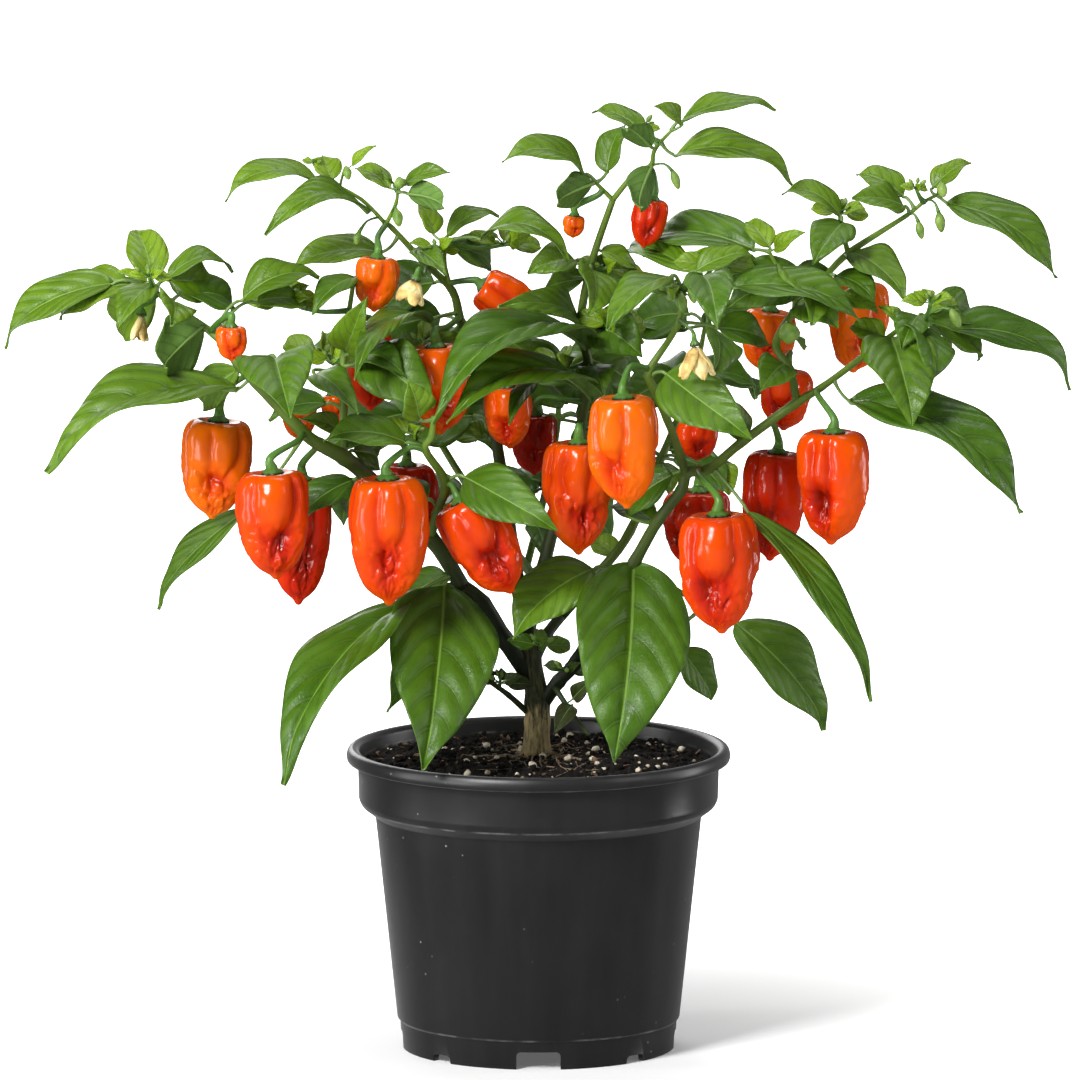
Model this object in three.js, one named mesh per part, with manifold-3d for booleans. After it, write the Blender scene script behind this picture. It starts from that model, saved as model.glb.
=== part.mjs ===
import * as THREE from "three";
import { mergeGeometries, mergeVertices } from "three/addons/utils/BufferGeometryUtils.js";
import Module from "manifold-3d";

const wasm = await Module();
wasm.setup();

// Potted chilli pepper plant, in millimetres: X to the right and Y to the back seen from its front, Z up.

// Places on the plant are written [right, up, depth] as they look from the front, from a little above.
const viewTilt = THREE.MathUtils.degToRad(9);
const viewer = new THREE.Vector3(0, -Math.cos(viewTilt), Math.sin(viewTilt));
const gap = 0.3;

// Depths in front of the trunk are written closer than they are, by this share.
const frontSpread = 1.5;

// Pot.
const potSides = 28;
const footRadius = 68.6;
const wideNotch = { width: 22, height: 9, first: 0 };
const smallNotch = { width: 12, height: 4, first: Math.PI / 4 };
const notchCount = 4;
const drainRadius = 5;
const drainRing = 40;
const drainSides = 8;
const potFloor = 10;
const cutDepth = 30;
const potProfile = [
  [0, 8], [64, 8], [65, 0], [footRadius, 0], [69.4, 14], [70.8, 15], [81.8, 118], [88.6, 123],
  [90, 126], [90.5, 144.5], [95.6, 145.2], [96.5, 148], [95, 152], [91.5, 152],
  [89.6, 150], [88.4, 126.5], [80, 120.5], [67, potFloor], [0, potFloor],
];

// Soil, filled to a little under the rim and heaped towards the trunk.
const soilSide = [[0, 10.4], [65.4, 10.4], [79.4, 121], [87.9, 127.2], [88.8, 143.5]];
const soilTop = [[74, 144.8], [56, 145.8], [38, 147], [20, 148], [0, 148.6]];
const soilRelief = 1.6;
const crumbsAbove = 144;
const trunkRight = -1;
const trunkBottom = 119;
const trunkHole = 7.9;
const holeSides = 12;

// Leaves: a blade swells to its broadest part below the middle and tapers to a slim tip.
const bladeHalfThick = 0.7;
const bladeSwell = 1.15;
const bladeBroadest = 0.68;
const bladeTaper = 0.2;
const bladeTip = 0.035;
const bladeFold = 0.22;
const bladeRipple = 0.05;
const rippleTurns = 11;
const smallLeaf = { under: 48, steps: 3 };
const middleLeaf = { under: 80, steps: 4 };
const largeLeafSteps = 5;
const petioleRadius = 1;
const petioleShare = 0.06;
const petioleSides = 4;
const petioleIntoBlade = 2;
const footInset = 1.4;
const bentPetiole = 0.35;

// Stems and stalks: number of sides from a radius up.
const stemSidesFrom = [[6, 8], [3, 6], [0, 4]];
const budSides = 5;
const budRings = 4;
const budStalk = [0.9, 0.7];
const budStalkSides = 3;

// Pods: share of the half width, share of the length below the calyx.
const podProfile = [
  [0, 0.01], [0.6, 0.01], [0.95, 0.12], [1, 0.33], [0.96, 0.55], [0.76, 0.745], [0.4, 0.895], [0, 1],
];
const podSides = 12;
const middlePodSides = 10;
const middlePod = 38;
const smallPodSides = 8;
const smallPod = 24;
const podGroove = 0.17;
const podCrumple = 0.16;
const smoothRings = 3;
const calyxLeast = 1.5;
const calyxShare = 0.19;
const calyxHeight = 2.6;
const calyxNarrowing = 0.55;
const calyxSides = 6;
const neckShare = 0.7;
const stalkRadius = 1.5;
const stalkFlare = 1.6;
const stalkSides = 4;

// Withered flowers.
const flowerMouth = 0.5;
const flowerThroat = 0.22;
const flowerPinch = 0.45;
const flowerBelly = 0.5;
const flowerCrumple = 0.3;
const flowerSides = 7;
const flowerRings = 3;
const flowerCalyx = 2.6;
const flowerStalk = 0.8;
const flowerSeed = 40;

// Colours.
const potBlack = 0x161617;
const soilBrown = 0x2a211b;
const leafGreen = 0x3f6b2c;
const podRed = 0xd8401a;
const petalCream = 0xd9cf9f;

// Stems, each a list of [right, up, depth, radius]; leaves, each as
// [base right, base up, tip right, tip up, tip depth, width, turn away from the viewer, arch];
// buds, each as [right, up, depth, length, width].
const stems = {
  trunk: {
    paths: [
      [[-1, 118, 0, 7.1], [-1, 147, 0, 7.2], [-1, 173, 0, 6.6], [-4, 194, 1, 6.1], [-6, 207, 2, 5.4]],
      [[-5, 186, 0, 5], [-17, 204, -3, 4.9], [-28, 222, -6, 4.8], [-38, 230, -8, 4.8]],
      [[2, 172, 0, 4.2], [10, 183, -3, 4], [19, 193, -6, 3.9], [33, 217, -11, 3.8]],
      [[-6, 205, 2, 4.4], [-11, 235, 9, 4], [-16, 272, 16, 3.8]],
      [[-6, 205, 2, 4.2], [2, 238, 8, 3.8], [8, 262, 12, 3.6]],
      [[-2, 194, 2, 3.4], [4, 206, 8, 3.2], [11, 215, 14, 3.1]],
      [[-3, 165, 0, 2], [-15, 176, -6, 1.6], [-26, 184, -12, 1.4]],
      [[-8, 182, -1, 1.6], [-25, 188, -5, 1.1]],
      [[8, 180, -4, 1.8], [18, 165, -10, 1.4], [25, 156, -12, 1.1]],
    ],
    leaves: [
      [-26, 184, -36, 193, -20, 6, 40, 0.1],
      [17, 171, 8, 157, -22, 10, 10, 0.1],
      [17, 174, 27, 184, -16, 9, 20, 0.1],
    ],
    buds: [],
  },
  stem_left: {
    parent: "trunk",
    paths: [
      [[-38, 230, -8, 4.5], [-54, 255, -13, 4.4], [-84, 284, -24, 4.2], [-96, 294, -30, 4.4],
        [-109, 301, -34, 3.7], [-118, 308, -36, 3.5], [-140, 331, -38, 2.9], [-149, 341, -38, 3],
        [-159, 354, -36, 2.4], [-183, 371, -30, 1.6], [-191, 378, -28, 1.3]],
      [[-54, 255, -13, 2.8], [-50, 269, -26, 2.4], [-46, 282, -36, 2.6], [-56, 298, -46, 2.1],
        [-53, 305, -48, 2], [-52, 315, -50, 1.4]],
      [[-97, 295, -29, 2.4], [-97, 318, -27, 2], [-97, 345, -22, 1.8], [-92, 382, -16, 1.3]],
    ],
    leaves: [
      [-212, 381, -269, 350, -20, 28, 50, 0.16],
      [-192, 383, -201, 410, -8, 21, 15, 0.1],
      [-192, 380, -209, 359, -48, 18, 35, 0.12],
      [-184, 384, -151, 388, -14, 16, 60, 0.26],
      [-194, 382, -210, 387, -32, 6, 40, 0.1],
      [-166, 360, -187, 338, -56, 30, 150, 0.1],
      [-150, 328, -247, 289, -58, 44, 60, 0.17],
      [-149, 338, -168, 319, -8, 20, 25, 0.1],
      [-147, 373, -108, 385, -26, 24, 50, 0.2],
      [-130, 343, -122, 315, -96, 38, 5, 0.16],
      [-111, 336, -89, 317, -60, 18, 30, 0.14],
      [-66, 302, -107, 304, -58, 22, 45, 0.12],
      [-99, 307, -117, 314, -52, 12, 30, 0.1],
      [-146, 268, -194, 219, 12, 20, 50, 0.08],
      [-66, 221, -130, 135, -84, 42, 48, 0.12],
      [-47, 231, -56, 141, -66, 55, 12, 0.08],
      [-69, 213, -74, 167, -28, 22, 50, 0.1],
      [-46, 236, -68, 223, 8, 18, 30, 0.1],
      [-59, 314, -64, 332, -58, 18, 20, 0.1],
      [-37, 285, 9, 259, -66, 27, 10, 0.1],
      [-92, 384, -113, 366, -34, 16, 40, 0.14],
      [-96, 347, -86, 373, -44, 20, 10, 0.12],
      [-91, 340, -65, 335, -40, 20, 45, 0.3],
      [-97, 300, -74, 313, -8, 18, 40, 0.1],
      [-88, 284, -95, 266, 20, 16, 30, 0.1],
      [-140, 372, -114, 369, -20, 18, 45, 0.2],
    ],
    buds: [],
  },
  stem_upper_left: {
    parent: "trunk",
    paths: [
      [[-16, 272, 16, 3.6], [-22, 310, 24, 3.2], [-27, 351, 24, 2.8], [-38, 361, 20, 2.8],
        [-43, 378, 14, 2.2], [-58, 393, 6, 1.9], [-73, 409, 0, 1.5], [-77, 412, -2, 1.5]],
      [[-77, 412, -2, 1.3], [-88, 423, -6, 1.1], [-102, 431, -8, 0.9]],
      [[-76, 411, -2, 1.3], [-71, 421, -6, 1.1], [-70, 429, -8, 0.9]],
      [[-44, 379, 13, 1.6], [-47, 393, 6, 1.3], [-45, 404, 0, 1]],
    ],
    leaves: [
      [-110, 432, -158, 423, -14, 20, 58, 0.22],
      [-103, 433, -108, 446, 6, 14, 20, 0.1],
      [-85, 417, -137, 406, -30, 22, 52, 0.26],
      [-93, 440, -81, 450, -16, 6, 40, 0.1],
      [-74, 429, -92, 440, 4, 12, 40, 0.1],
      [-66, 431, -44, 437, -16, 12, 45, 0.12],
      [-65, 426, -46, 419, -26, 15, 150, 0.1],
      [-52, 406, -60, 423, 12, 13, 40, 0.1],
      [-46, 405, -19, 416, 8, 14, 50, 0.24],
      [-29, 404, 17, 393, -16, 22, 55, 0.3],
      [-79, 397, -125, 389, -6, 20, 45, 0.12],
      [-54, 365, -92, 340, -58, 20, 52, 0.14],
      [-43, 399, -23, 386, 40, 18, 40, 0.12],
      [-30, 352, -62, 345, 30, 20, 40, 0.1],
      [-62, 399, -46, 386, -14, 14, 35, 0.1],
    ],
    buds: [
      [-70, 414, -10, 8, 6], [-69, 431, -14, 6, 6], [-95, 436, -14, 6, 5], [-90, 404, -10, 6, 5],
    ],
  },
  stem_top: {
    parent: "trunk",
    paths: [
      [[8, 262, 12, 3.4], [20, 305, 16, 3], [25, 340, 12, 2.8], [21, 360, 9, 2.6], [26, 390, 4, 2.2],
        [37, 423, -4, 1.9]],
      [[37, 423, -4, 1.5], [27, 433, -6, 1.1]],
      [[37, 423, -4, 1.7], [48, 436, -8, 1.5], [56, 440, -10, 1.5], [58, 448, -12, 1.2],
        [67, 458, -14, 0.9]],
    ],
    leaves: [
      [24, 349, -56, 315, -60, 42, 56, 0.22],
      [27, 324, -45, 316, -60, 34, 58, 0.16],
      [-9, 323, -18, 308, -44, 11, 30, 0.1],
      [21, 360, -18, 371, -40, 21, 42, 0.12],
      [23, 436, -19, 443, -20, 22, 55, 0.22],
      [27, 431, 8, 421, -22, 18, 145, 0.1],
      [34, 437, 43, 462, 6, 18, 45, 0.1],
      [53, 455, 26, 468, 0, 14, 50, 0.14],
      [56, 449, 43, 458, -34, 14, 150, 0.1],
      [71, 461, 58, 469, -30, 11, 40, 0.1],
      [71, 462, 119, 469, -12, 17, 58, 0.14],
      [68, 445, 129, 432, -18, 25, 55, 0.2],
      [56, 439, 50, 417, -34, 17, 145, 0.1],
      [28, 386, 52, 377, 26, 18, 35, 0.1],
      [23, 384, 1, 378, 24, 16, 35, 0.1],
      [31, 398, 50, 389, 12, 12, 40, 0.1],
      [26, 344, 48, 330, 26, 22, 35, 0.1],
      [18, 332, -8, 340, 32, 20, 40, 0.1],
    ],
    buds: [[68, 433, -12, 9, 5]],
  },
  stem_right: {
    parent: "trunk",
    paths: [
      [[33, 217, -11, 3.6], [48, 243, -18, 3.4], [60, 264, -25, 3.2], [71, 278, -29, 3.2],
        [74, 287, -30, 3.4], [85, 289, -33, 2.8], [101, 302, -38, 2.6], [127, 321, -40, 2.6],
        [140, 329, -38, 2], [163, 346, -32, 1.8], [183, 361, -24, 1.3], [192, 364, -20, 1.1]],
      [[48, 243, -18, 1.8], [70, 228, -15, 1.5], [96, 213, -12, 1.2]],
    ],
    leaves: [
      [194, 367, 207, 375, -14, 9, 30, 0.1],
      [203, 358, 270, 330, 6, 30, 58, 0.16],
      [175, 354, 186, 310, -64, 37, 15, 0.14],
      [155, 322, 243, 269, -58, 46, 56, 0.14],
      [181, 362, 169, 370, -22, 8, 40, 0.1],
      [172, 354, 154, 360, -24, 14, 30, 0.1],
      [27, 239, -14, 205, -34, 34, 35, 0.1],
      [47, 241, 38, 144, -62, 58, 8, 0.08],
      [71, 199, 88, 173, -6, 20, 30, 0.1],
      [98, 212, 145, 158, -8, 36, 38, 0.12],
      [104, 268, 168, 175, -78, 22, 45, 0.1],
      [100, 303, 92, 322, -14, 16, 25, 0.1],
      [58, 262, 36, 272, -2, 16, 30, 0.1],
    ],
    buds: [[207, 364, -24, 9, 6], [203, 351, -22, 8, 6]],
  },
  stem_mid_right: {
    parent: "stem_right",
    paths: [
      [[73, 286, -30, 2.6], [70, 297, -36, 2.4], [64, 313, -43, 2.2], [56, 331, -48, 2.3],
        [55, 338, -49, 2.2], [69, 360, -46, 1.7], [71, 378, -45, 1.4]],
    ],
    leaves: [
      [76, 387, 41, 397, 46, 16, 40, 0.1],
      [65, 384, 33, 358, -74, 22, 45, 0.12],
      [81, 384, 88, 358, -84, 24, 10, 0.16],
      [78, 387, 107, 396, -40, 16, 45, 0.14],
      [97, 379, 162, 364, -46, 30, 56, 0.12],
      [89, 359, 116, 351, -21, 20, 40, 0.1],
      [60, 335, 103, 303, -78, 32, 5, 0.1],
    ],
    buds: [[66, 377, -50, 9, 6], [71, 371, -52, 9, 6], [76, 375, -50, 8, 5]],
  },
  stem_upper_right: {
    parent: "stem_right",
    paths: [
      [[128, 322, -40, 2.4], [125, 338, -38, 2.2], [118, 351, -32, 2.3], [129, 370, -24, 2],
        [142, 384, -16, 1.8], [155, 397, -10, 2], [183, 415, -4, 1.3], [192, 422, -4, 1.1],
        [200, 426, -4, 0.9]],
      [[154, 397, -10, 1.7], [151, 408, -12, 1.4], [150, 412, -12, 1.2]],
      [[129, 370, -24, 1.5], [121, 385, -22, 1.3], [114, 398, -22, 1]],
    ],
    leaves: [
      [107, 399, 49, 402, 14, 30, 55, 0.16],
      [150, 415, 120, 427, -8, 16, 50, 0.22],
      [151, 411, 136, 391, -34, 22, 20, 0.1],
      [182, 420, 156, 424, -16, 18, 40, 0.1],
      [182, 425, 158, 437, 8, 17, 42, 0.12],
      [196, 429, 216, 443, 4, 14, 45, 0.12],
      [204, 421, 260, 385, -14, 30, 50, 0.14],
      [156, 397, 183, 374, -30, 24, 40, 0.12],
      [150, 376, 169, 367, -22, 14, 40, 0.1],
      [141, 382, 131, 362, 2, 18, 25, 0.1],
      [115, 399, 103, 413, -10, 13, 25, 0.1],
      [117, 398, 132, 407, -30, 10, 35, 0.1],
      [122, 341, 110, 328, -54, 20, 15, 0.1],
    ],
    buds: [[190, 408, -8, 8, 5], [200, 412, -8, 9, 6], [201, 428, -10, 7, 6], [124, 356, -44, 11, 11]],
  },
  stem_back: {
    parent: "trunk",
    paths: [
      [[11, 215, 14, 3], [31, 238, 20, 2.8], [46, 258, 28, 2.6], [62, 295, 54, 2.2], [78, 335, 76, 1.8],
        [84, 362, 86, 1.2]],
      [[11, 215, 14, 2.6], [-6, 240, 42, 2.6], [-32, 275, 64, 2.2], [-56, 315, 80, 1.8],
        [-68, 350, 86, 1.2]],
      [[-6, 240, 42, 2.2], [4, 280, 92, 2], [10, 315, 120, 1.6], [8, 345, 132, 1.2]],
    ],
    leaves: [
      [-92, 284, -99, 261, 34, 19, 30, 0.1],
      [38, 246, 26, 254, 34, 14, 30, 0.1],
      [-2, 262, 4, 243, 38, 15, 20, 0.1],
      [62, 292, 66, 276, 34, 14, 20, 0.1],
      [90, 292, 96, 276, 40, 16, 20, 0.1],
    ],
    buds: [],
  },
};

// Leaves on the stems at the back, in pairs that turn round their stem.
const backLeaves = {
  perNode: 2, length: 62, lengthVary: 12, width: 32, droop: 0.25, spin: 2.4, turnAway: 70, arch: 0.12,
  from: 50, fan: 1.9, sway: 0.5, stalk: 0.2, seedsPerPath: 20,
};

// Pods: [stem, calyx right, up, depth, tip right, up, depth, width, lobes, stalk right, up].
const pods = [
  ["stem_left", -159, 313, -20, -163, 264, -20, 38, 3, -154, 327],
  ["stem_left", -132, 287, -52, -130, 234, -52, 39, 4, -119, 305],
  ["stem_left", -118, 284, -8, -120, 221, -8, 34, 3, -111, 296],
  ["stem_left", -75, 284, -52, -74, 221, -52, 42, 4, -64, 300],
  ["stem_left", -66, 291, 10, -66, 245, 10, 32, 3, -70, 300],
  ["stem_left", -39, 273, -40, -13, 227, -40, 37, 3, -43, 281],
  ["stem_top", 20, 302, -25, 20, 246, -25, 36, 4, 20, 312],
  ["stem_mid_right", 42, 324, -62, 44, 269, -62, 38, 3, 46, 341],
  ["stem_right", 89, 266, -56, 91, 207, -56, 42, 4, 80, 288],
  ["stem_right", 80, 278, 2, 79, 238, 2, 36, 3, 80, 286],
  ["stem_right", 119, 297, -27, 115, 243, -27, 34, 3, 117, 309],
  ["stem_right", 146, 307, -52, 145, 251, -52, 39, 4, 139, 326],
  ["stem_upper_right", 161, 382, 5, 157, 337, 5, 33, 3, 158, 394],
  ["stem_upper_right", 116, 368, 4, 113, 337, 4, 29, 3, 117, 376],
  ["stem_upper_right", 124, 338, -15, 122, 308, -15, 27, 4, 125, 344],
  ["stem_mid_right", 80, 314, -8, 79, 293, -8, 23, 3, 74, 322],
  ["stem_upper_left", -28, 381, 10, 4, 361, 10, 26, 4, -39, 383],
  ["stem_upper_left", -80, 394, -14, -82, 367, -14, 23, 3, -80, 406],
  ["stem_left", -152, 359, -54, -152, 342, -54, 17, 3, -158, 364],
  ["stem_top", 18, 415, -5, 17, 404, -5, 12, 3, 29, 425],
  ["stem_top", 57, 423, -10, 52, 399, -10, 19, 3, 57, 436],
  ["stem_left", -120, 328, -8, -119, 303, -8, 20, 3, -126, 333],
  ["stem_left", -103, 326, -2, -101, 309, -2, 14, 3, -99, 332],
  ["stem_left", -84, 357, 4, -84, 318, 4, 26, 3, -90, 362],
  ["stem_upper_left", -51, 350, -16, -49, 306, -16, 36, 4, -46, 363],
  ["stem_upper_left", -16, 330, -6, -14, 299, -6, 26, 3, -20, 342],
  ["stem_top", -2, 316, 14, -2, 286, 14, 25, 3, 3, 325],
];

// Withered flowers: [stem, calyx right, up, depth, tip right, up, width, stalk right, up].
const flowers = [
  ["stem_left", -197, 366, -30, -198, 352, 8, -192, 372],
  ["stem_upper_left", -61, 383, -35, -65, 371, 14, -57, 390],
  ["stem_mid_right", 77, 350, -74, 79, 333, 15, 74, 362],
];

function seen([right, up, depth]) {
  const back = depth < 0 ? depth * frontSpread : depth;
  return new THREE.Vector3(right, back, (up - back * Math.sin(viewTilt)) / Math.cos(viewTilt));
}

// A number from 0 to 1 that looks random but is always the same for the same seed.
function scatter(seed) {
  const value = Math.sin(seed * 127.1 + 11.7) * 43758.5453;
  return value - Math.floor(value);
}

function solid(geometry) {
  const bare = new THREE.BufferGeometry();
  bare.setAttribute("position", geometry.getAttribute("position"));
  bare.setIndex(geometry.index);
  const merged = mergeVertices(bare, 1e-3);
  const triVerts = new Uint32Array(merged.index.array);
  return new wasm.Manifold(
    new wasm.Mesh({ numProp: 3, vertProperties: merged.attributes.position.array, triVerts }),
  );
}

function moved(geometry, place) {
  const positions = geometry.attributes.position;
  const point = new THREE.Vector3();
  for (let i = 0; i < positions.count; i += 1) {
    point.fromBufferAttribute(positions, i);
    place(point);
    positions.setXYZ(i, point.x, point.y, point.z);
  }
  return geometry;
}

// A round stem through the points, swollen or tapered to a radius at each.
function tube(points, radii, sides) {
  const last = points.length - 1;
  const rings = [];
  let side = new THREE.Vector3(0.31, 0.9, 0.17);
  points.forEach((point, i) => {
    const before = points[Math.max(i - 1, 0)];
    const after = points[Math.min(i + 1, last)];
    const along = after.clone().sub(before).normalize();
    side = side.clone().addScaledVector(along, -side.dot(along)).normalize();
    rings.push({ point, radius: radii[i], side, other: side.clone().cross(along) });
  });
  const shape = new THREE.CylinderGeometry(1, 1, last, sides, last);
  return solid(moved(shape, (v) => {
    const ring = rings[Math.round(v.y + last / 2)];
    const { x, z } = v;
    v.copy(ring.point);
    v.addScaledVector(ring.side, x * ring.radius);
    v.addScaledVector(ring.other, z * ring.radius);
  }));
}

// The same stem made larger all round and longer at its ends, to keep a neighbour clear of it.
function tubeRoom(path) {
  const points = path.map(seen);
  const start = points[0].clone().sub(points[1]).setLength(gap);
  const end = points.at(-1).clone().sub(points.at(-2)).setLength(gap);
  points[0].add(start);
  points[points.length - 1].add(end);
  return tube(points, path.map((p) => p[3] + gap), stemSides(path));
}

function stemSides(path) {
  const thickest = Math.max(...path.map((p) => p[3]));
  return stemSidesFrom.find(([radius]) => thickest > radius)[1];
}

// Half width of a blade, as a share of its widest, from its foot at 0 to its tip at 1.
function outline(along) {
  const swell = bladeSwell * Math.sin(Math.PI * along ** bladeBroadest);
  return Math.max(swell * (1 - bladeTaper * along), bladeTip);
}

// Across and up directions of a blade that turns away from the viewer by `turn` degrees.
function bladeFrame(axis, turn) {
  const facing = viewer.clone().addScaledVector(axis, -viewer.dot(axis)).normalize();
  const upward = axis.clone().cross(facing);
  if (upward.z + 0.2 * upward.x < 0) upward.negate();
  const angle = THREE.MathUtils.degToRad(turn);
  const normal = facing.multiplyScalar(Math.cos(angle)).addScaledVector(upward, Math.sin(angle));
  return { side: axis.clone().cross(normal), normal };
}

// A leaf: two skins that meet all round the edge, from the foot of its stalk to the tip of a blade
// folded up along the rib and arched, with a small end face at the foot.
function leafSolid(foot, base, tip, width, turn, arch, seed) {
  const axis = tip.clone().sub(base);
  const length = axis.length();
  axis.divideScalar(length);
  const { side, normal } = bladeFrame(axis, turn);
  const steps = [smallLeaf, middleLeaf].find((size) => length < size.under)?.steps ?? largeLeafSteps;
  const slim = Math.min(petioleRadius, petioleShare * width);
  const bent = base.clone().sub(foot).normalize().dot(axis) < bentPetiole;
  const start = bent ? base.clone().addScaledVector(axis, -1) : foot;
  const row = (i) => {
    const along = (i - 1) / steps;
    if (i === 0) return { spot: start, half: slim, lift: slim, fold: 0 };
    const spot = base.clone().addScaledVector(axis, length * along);
    spot.addScaledVector(normal, arch * length * 4 * along * (1 - along));
    if (i === 1) return { spot, half: slim, lift: slim, fold: 0 };
    const half = (width / 2) * outline(along);
    const ripple = width * bladeRipple * Math.sin(rippleTurns * along + 2 * Math.PI * seed);
    return { spot, half, lift: i > steps ? 0 : bladeHalfThick, fold: bladeFold * half + ripple };
  };
  const rows = Array.from({ length: steps + 2 }, (_, i) => row(i));
  const put = (v, { spot, half, lift, fold }, across, up) => {
    v.copy(spot).addScaledVector(side, half * across);
    v.addScaledVector(normal, up * lift + fold * Math.abs(across));
  };
  const skin = (up) => moved(new THREE.PlaneGeometry(2, 1, 2, steps + 1), (v) => {
    const across = Math.round(v.x);
    put(v, rows[Math.round((v.y + 0.5) * (steps + 1))], across, across === 0 ? up : 0);
  });
  const lower = flipped(skin(-1));
  const end = moved(new THREE.CircleGeometry(1, petioleSides), (v) => put(v, rows[0], v.x, v.y));
  const leafBody = solid(mergeGeometries([skin(1), lower, end]));
  if (!bent) return leafBody;
  const inside = base.clone().addScaledVector(axis, petioleIntoBlade);
  return leafBody.add(tube([foot, base, inside], [1.2 * slim, 1.1 * slim, 0.9 * slim], petioleSides));
}

function flipped(geometry) {
  const corners = geometry.index.array;
  for (let i = 0; i < corners.length; i += 3) {
    [corners[i + 1], corners[i + 2]] = [corners[i + 2], corners[i + 1]];
  }
  return geometry;
}

// The place on a stem's paths that looks nearest to a point, as [right, up, depth].
function nearest(paths, right, up) {
  let best = null;
  let least = Infinity;
  for (const path of paths) {
    for (let i = 1; i < path.length; i += 1) {
      const [a, b] = [path[i - 1], path[i]];
      const run = [b[0] - a[0], b[1] - a[1]];
      const share = ((right - a[0]) * run[0] + (up - a[1]) * run[1]) / (run[0] ** 2 + run[1] ** 2);
      const t = Math.min(Math.max(share, 0), 1 - footInset / Math.hypot(...run));
      const spot = [0, 1, 2].map((k) => a[k] + (b[k] - a[k]) * t);
      const distance = Math.hypot(right - spot[0], up - spot[1]);
      if (distance < least) {
        least = distance;
        best = spot;
      }
    }
  }
  return best;
}

function leaf(paths, row, seed) {
  const [baseRight, baseUp, tipRight, tipUp, tipDepth, width, turn, arch] = row;
  const foot = nearest(paths, baseRight, baseUp);
  const stalk = Math.hypot(baseRight - foot[0], baseUp - foot[1]);
  const blades = Math.hypot(tipRight - baseRight, tipUp - baseUp);
  const baseDepth = foot[2] + ((tipDepth - foot[2]) * stalk) / (stalk + blades);
  const base = seen([baseRight, baseUp, baseDepth]);
  const tip = seen([tipRight, tipUp, tipDepth]);
  return leafSolid(seen(foot), base, tip, width, turn, arch, seed);
}

// The leaves at the back stand out from each joint of their stem, away from the front.
function backRows(paths) {
  const made = [];
  paths.forEach((path, p) => {
    path.slice(1).forEach((spot, i) => {
      for (let k = 0; k < backLeaves.perNode; k += 1) {
        const count = p * backLeaves.seedsPerPath + i * backLeaves.perNode + k;
        const heading = (k - 0.5) * backLeaves.fan + backLeaves.sway * Math.sin(backLeaves.spin * count);
        const length = backLeaves.length + backLeaves.lengthVary * (scatter(count) - 0.5) * 2;
        const reach = [Math.sin(heading) * length, Math.cos(heading) * length];
        if (spot[2] > backLeaves.from) {
          made.push({ spot, reach, drop: backLeaves.droop * length, width: backLeaves.width, count });
        }
      }
    });
  });
  return made;
}

function backLeaf({ spot, reach, drop, width, count }) {
  const foot = seen(spot);
  const tip = foot.clone().add(new THREE.Vector3(reach[0], reach[1], -drop));
  const base = foot.clone().lerp(tip, backLeaves.stalk);
  return leafSolid(foot, base, tip, width, backLeaves.turnAway, backLeaves.arch, scatter(count + 0.5));
}

function bud(paths, [right, up, depth, length, width]) {
  const foot = nearest(paths, right, up);
  const middle = seen([right, up, depth]);
  const shape = new THREE.SphereGeometry(1, budSides, budRings);
  shape.scale(width / 2, width / 2, length / 2);
  shape.translate(middle.x, middle.y, middle.z);
  return solid(shape).add(tube([seen(foot), middle], budStalk, budStalkSides));
}

// Calyx and stalk of a pod or flower that hangs from `top` along `down`.
function calyx(paths, top, down, radius, stalk, thick) {
  const disc = new THREE.CylinderGeometry(calyxNarrowing * radius, radius, calyxHeight, calyxSides);
  disc.translate(0, calyxHeight / 2, 0);
  const up = down.clone().negate();
  disc.applyQuaternion(new THREE.Quaternion().setFromUnitVectors(new THREE.Vector3(0, 1, 0), up));
  disc.translate(top.x, top.y, top.z);
  const neck = top.clone().addScaledVector(up, neckShare * calyxHeight);
  const foot = nearest(paths, stalk[0], stalk[1]);
  const bend = seen([stalk[0], stalk[1], foot[2]]).setY((seen(foot).y + top.y) / 2);
  return solid(disc).add(tube([seen(foot), bend, neck], [thick, thick, stalkFlare * thick], stalkSides));
}

function podShape(top, tip, width, lobes, seed) {
  const up = top.clone().sub(tip);
  const length = up.length();
  up.divideScalar(length);
  const side = new THREE.Vector3(1, 0, 0).addScaledVector(up, -up.x).normalize();
  const other = side.clone().cross(up);
  const rings = podProfile.length - 1;
  const phase = 2 * Math.PI * scatter(seed);
  const sides = width < smallPod ? smallPodSides : width < middlePod ? middlePodSides : podSides;
  return solid(moved(new THREE.SphereGeometry(1, sides, rings), (v) => {
    const ring = Math.round((Math.acos(THREE.MathUtils.clamp(v.y, -1, 1)) / Math.PI) * rings);
    const angle = Math.atan2(v.z, v.x);
    const [spread, drop] = podProfile[ring];
    const groove = podGroove * (1 - Math.abs(Math.sin((lobes * (angle + phase)) / 2)));
    const step = Math.round((angle / (2 * Math.PI)) * sides + sides) % sides;
    const uneven = scatter(seed + ring * (podSides + 5) + step) - 0.5;
    const crumple = ring > smoothRings ? podCrumple * uneven : 0;
    const radius = (width / 2) * spread * (1 - groove + crumple);
    v.copy(top).addScaledVector(up, -drop * length);
    v.addScaledVector(side, radius * Math.cos(angle)).addScaledVector(other, radius * Math.sin(angle));
  }));
}

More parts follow.
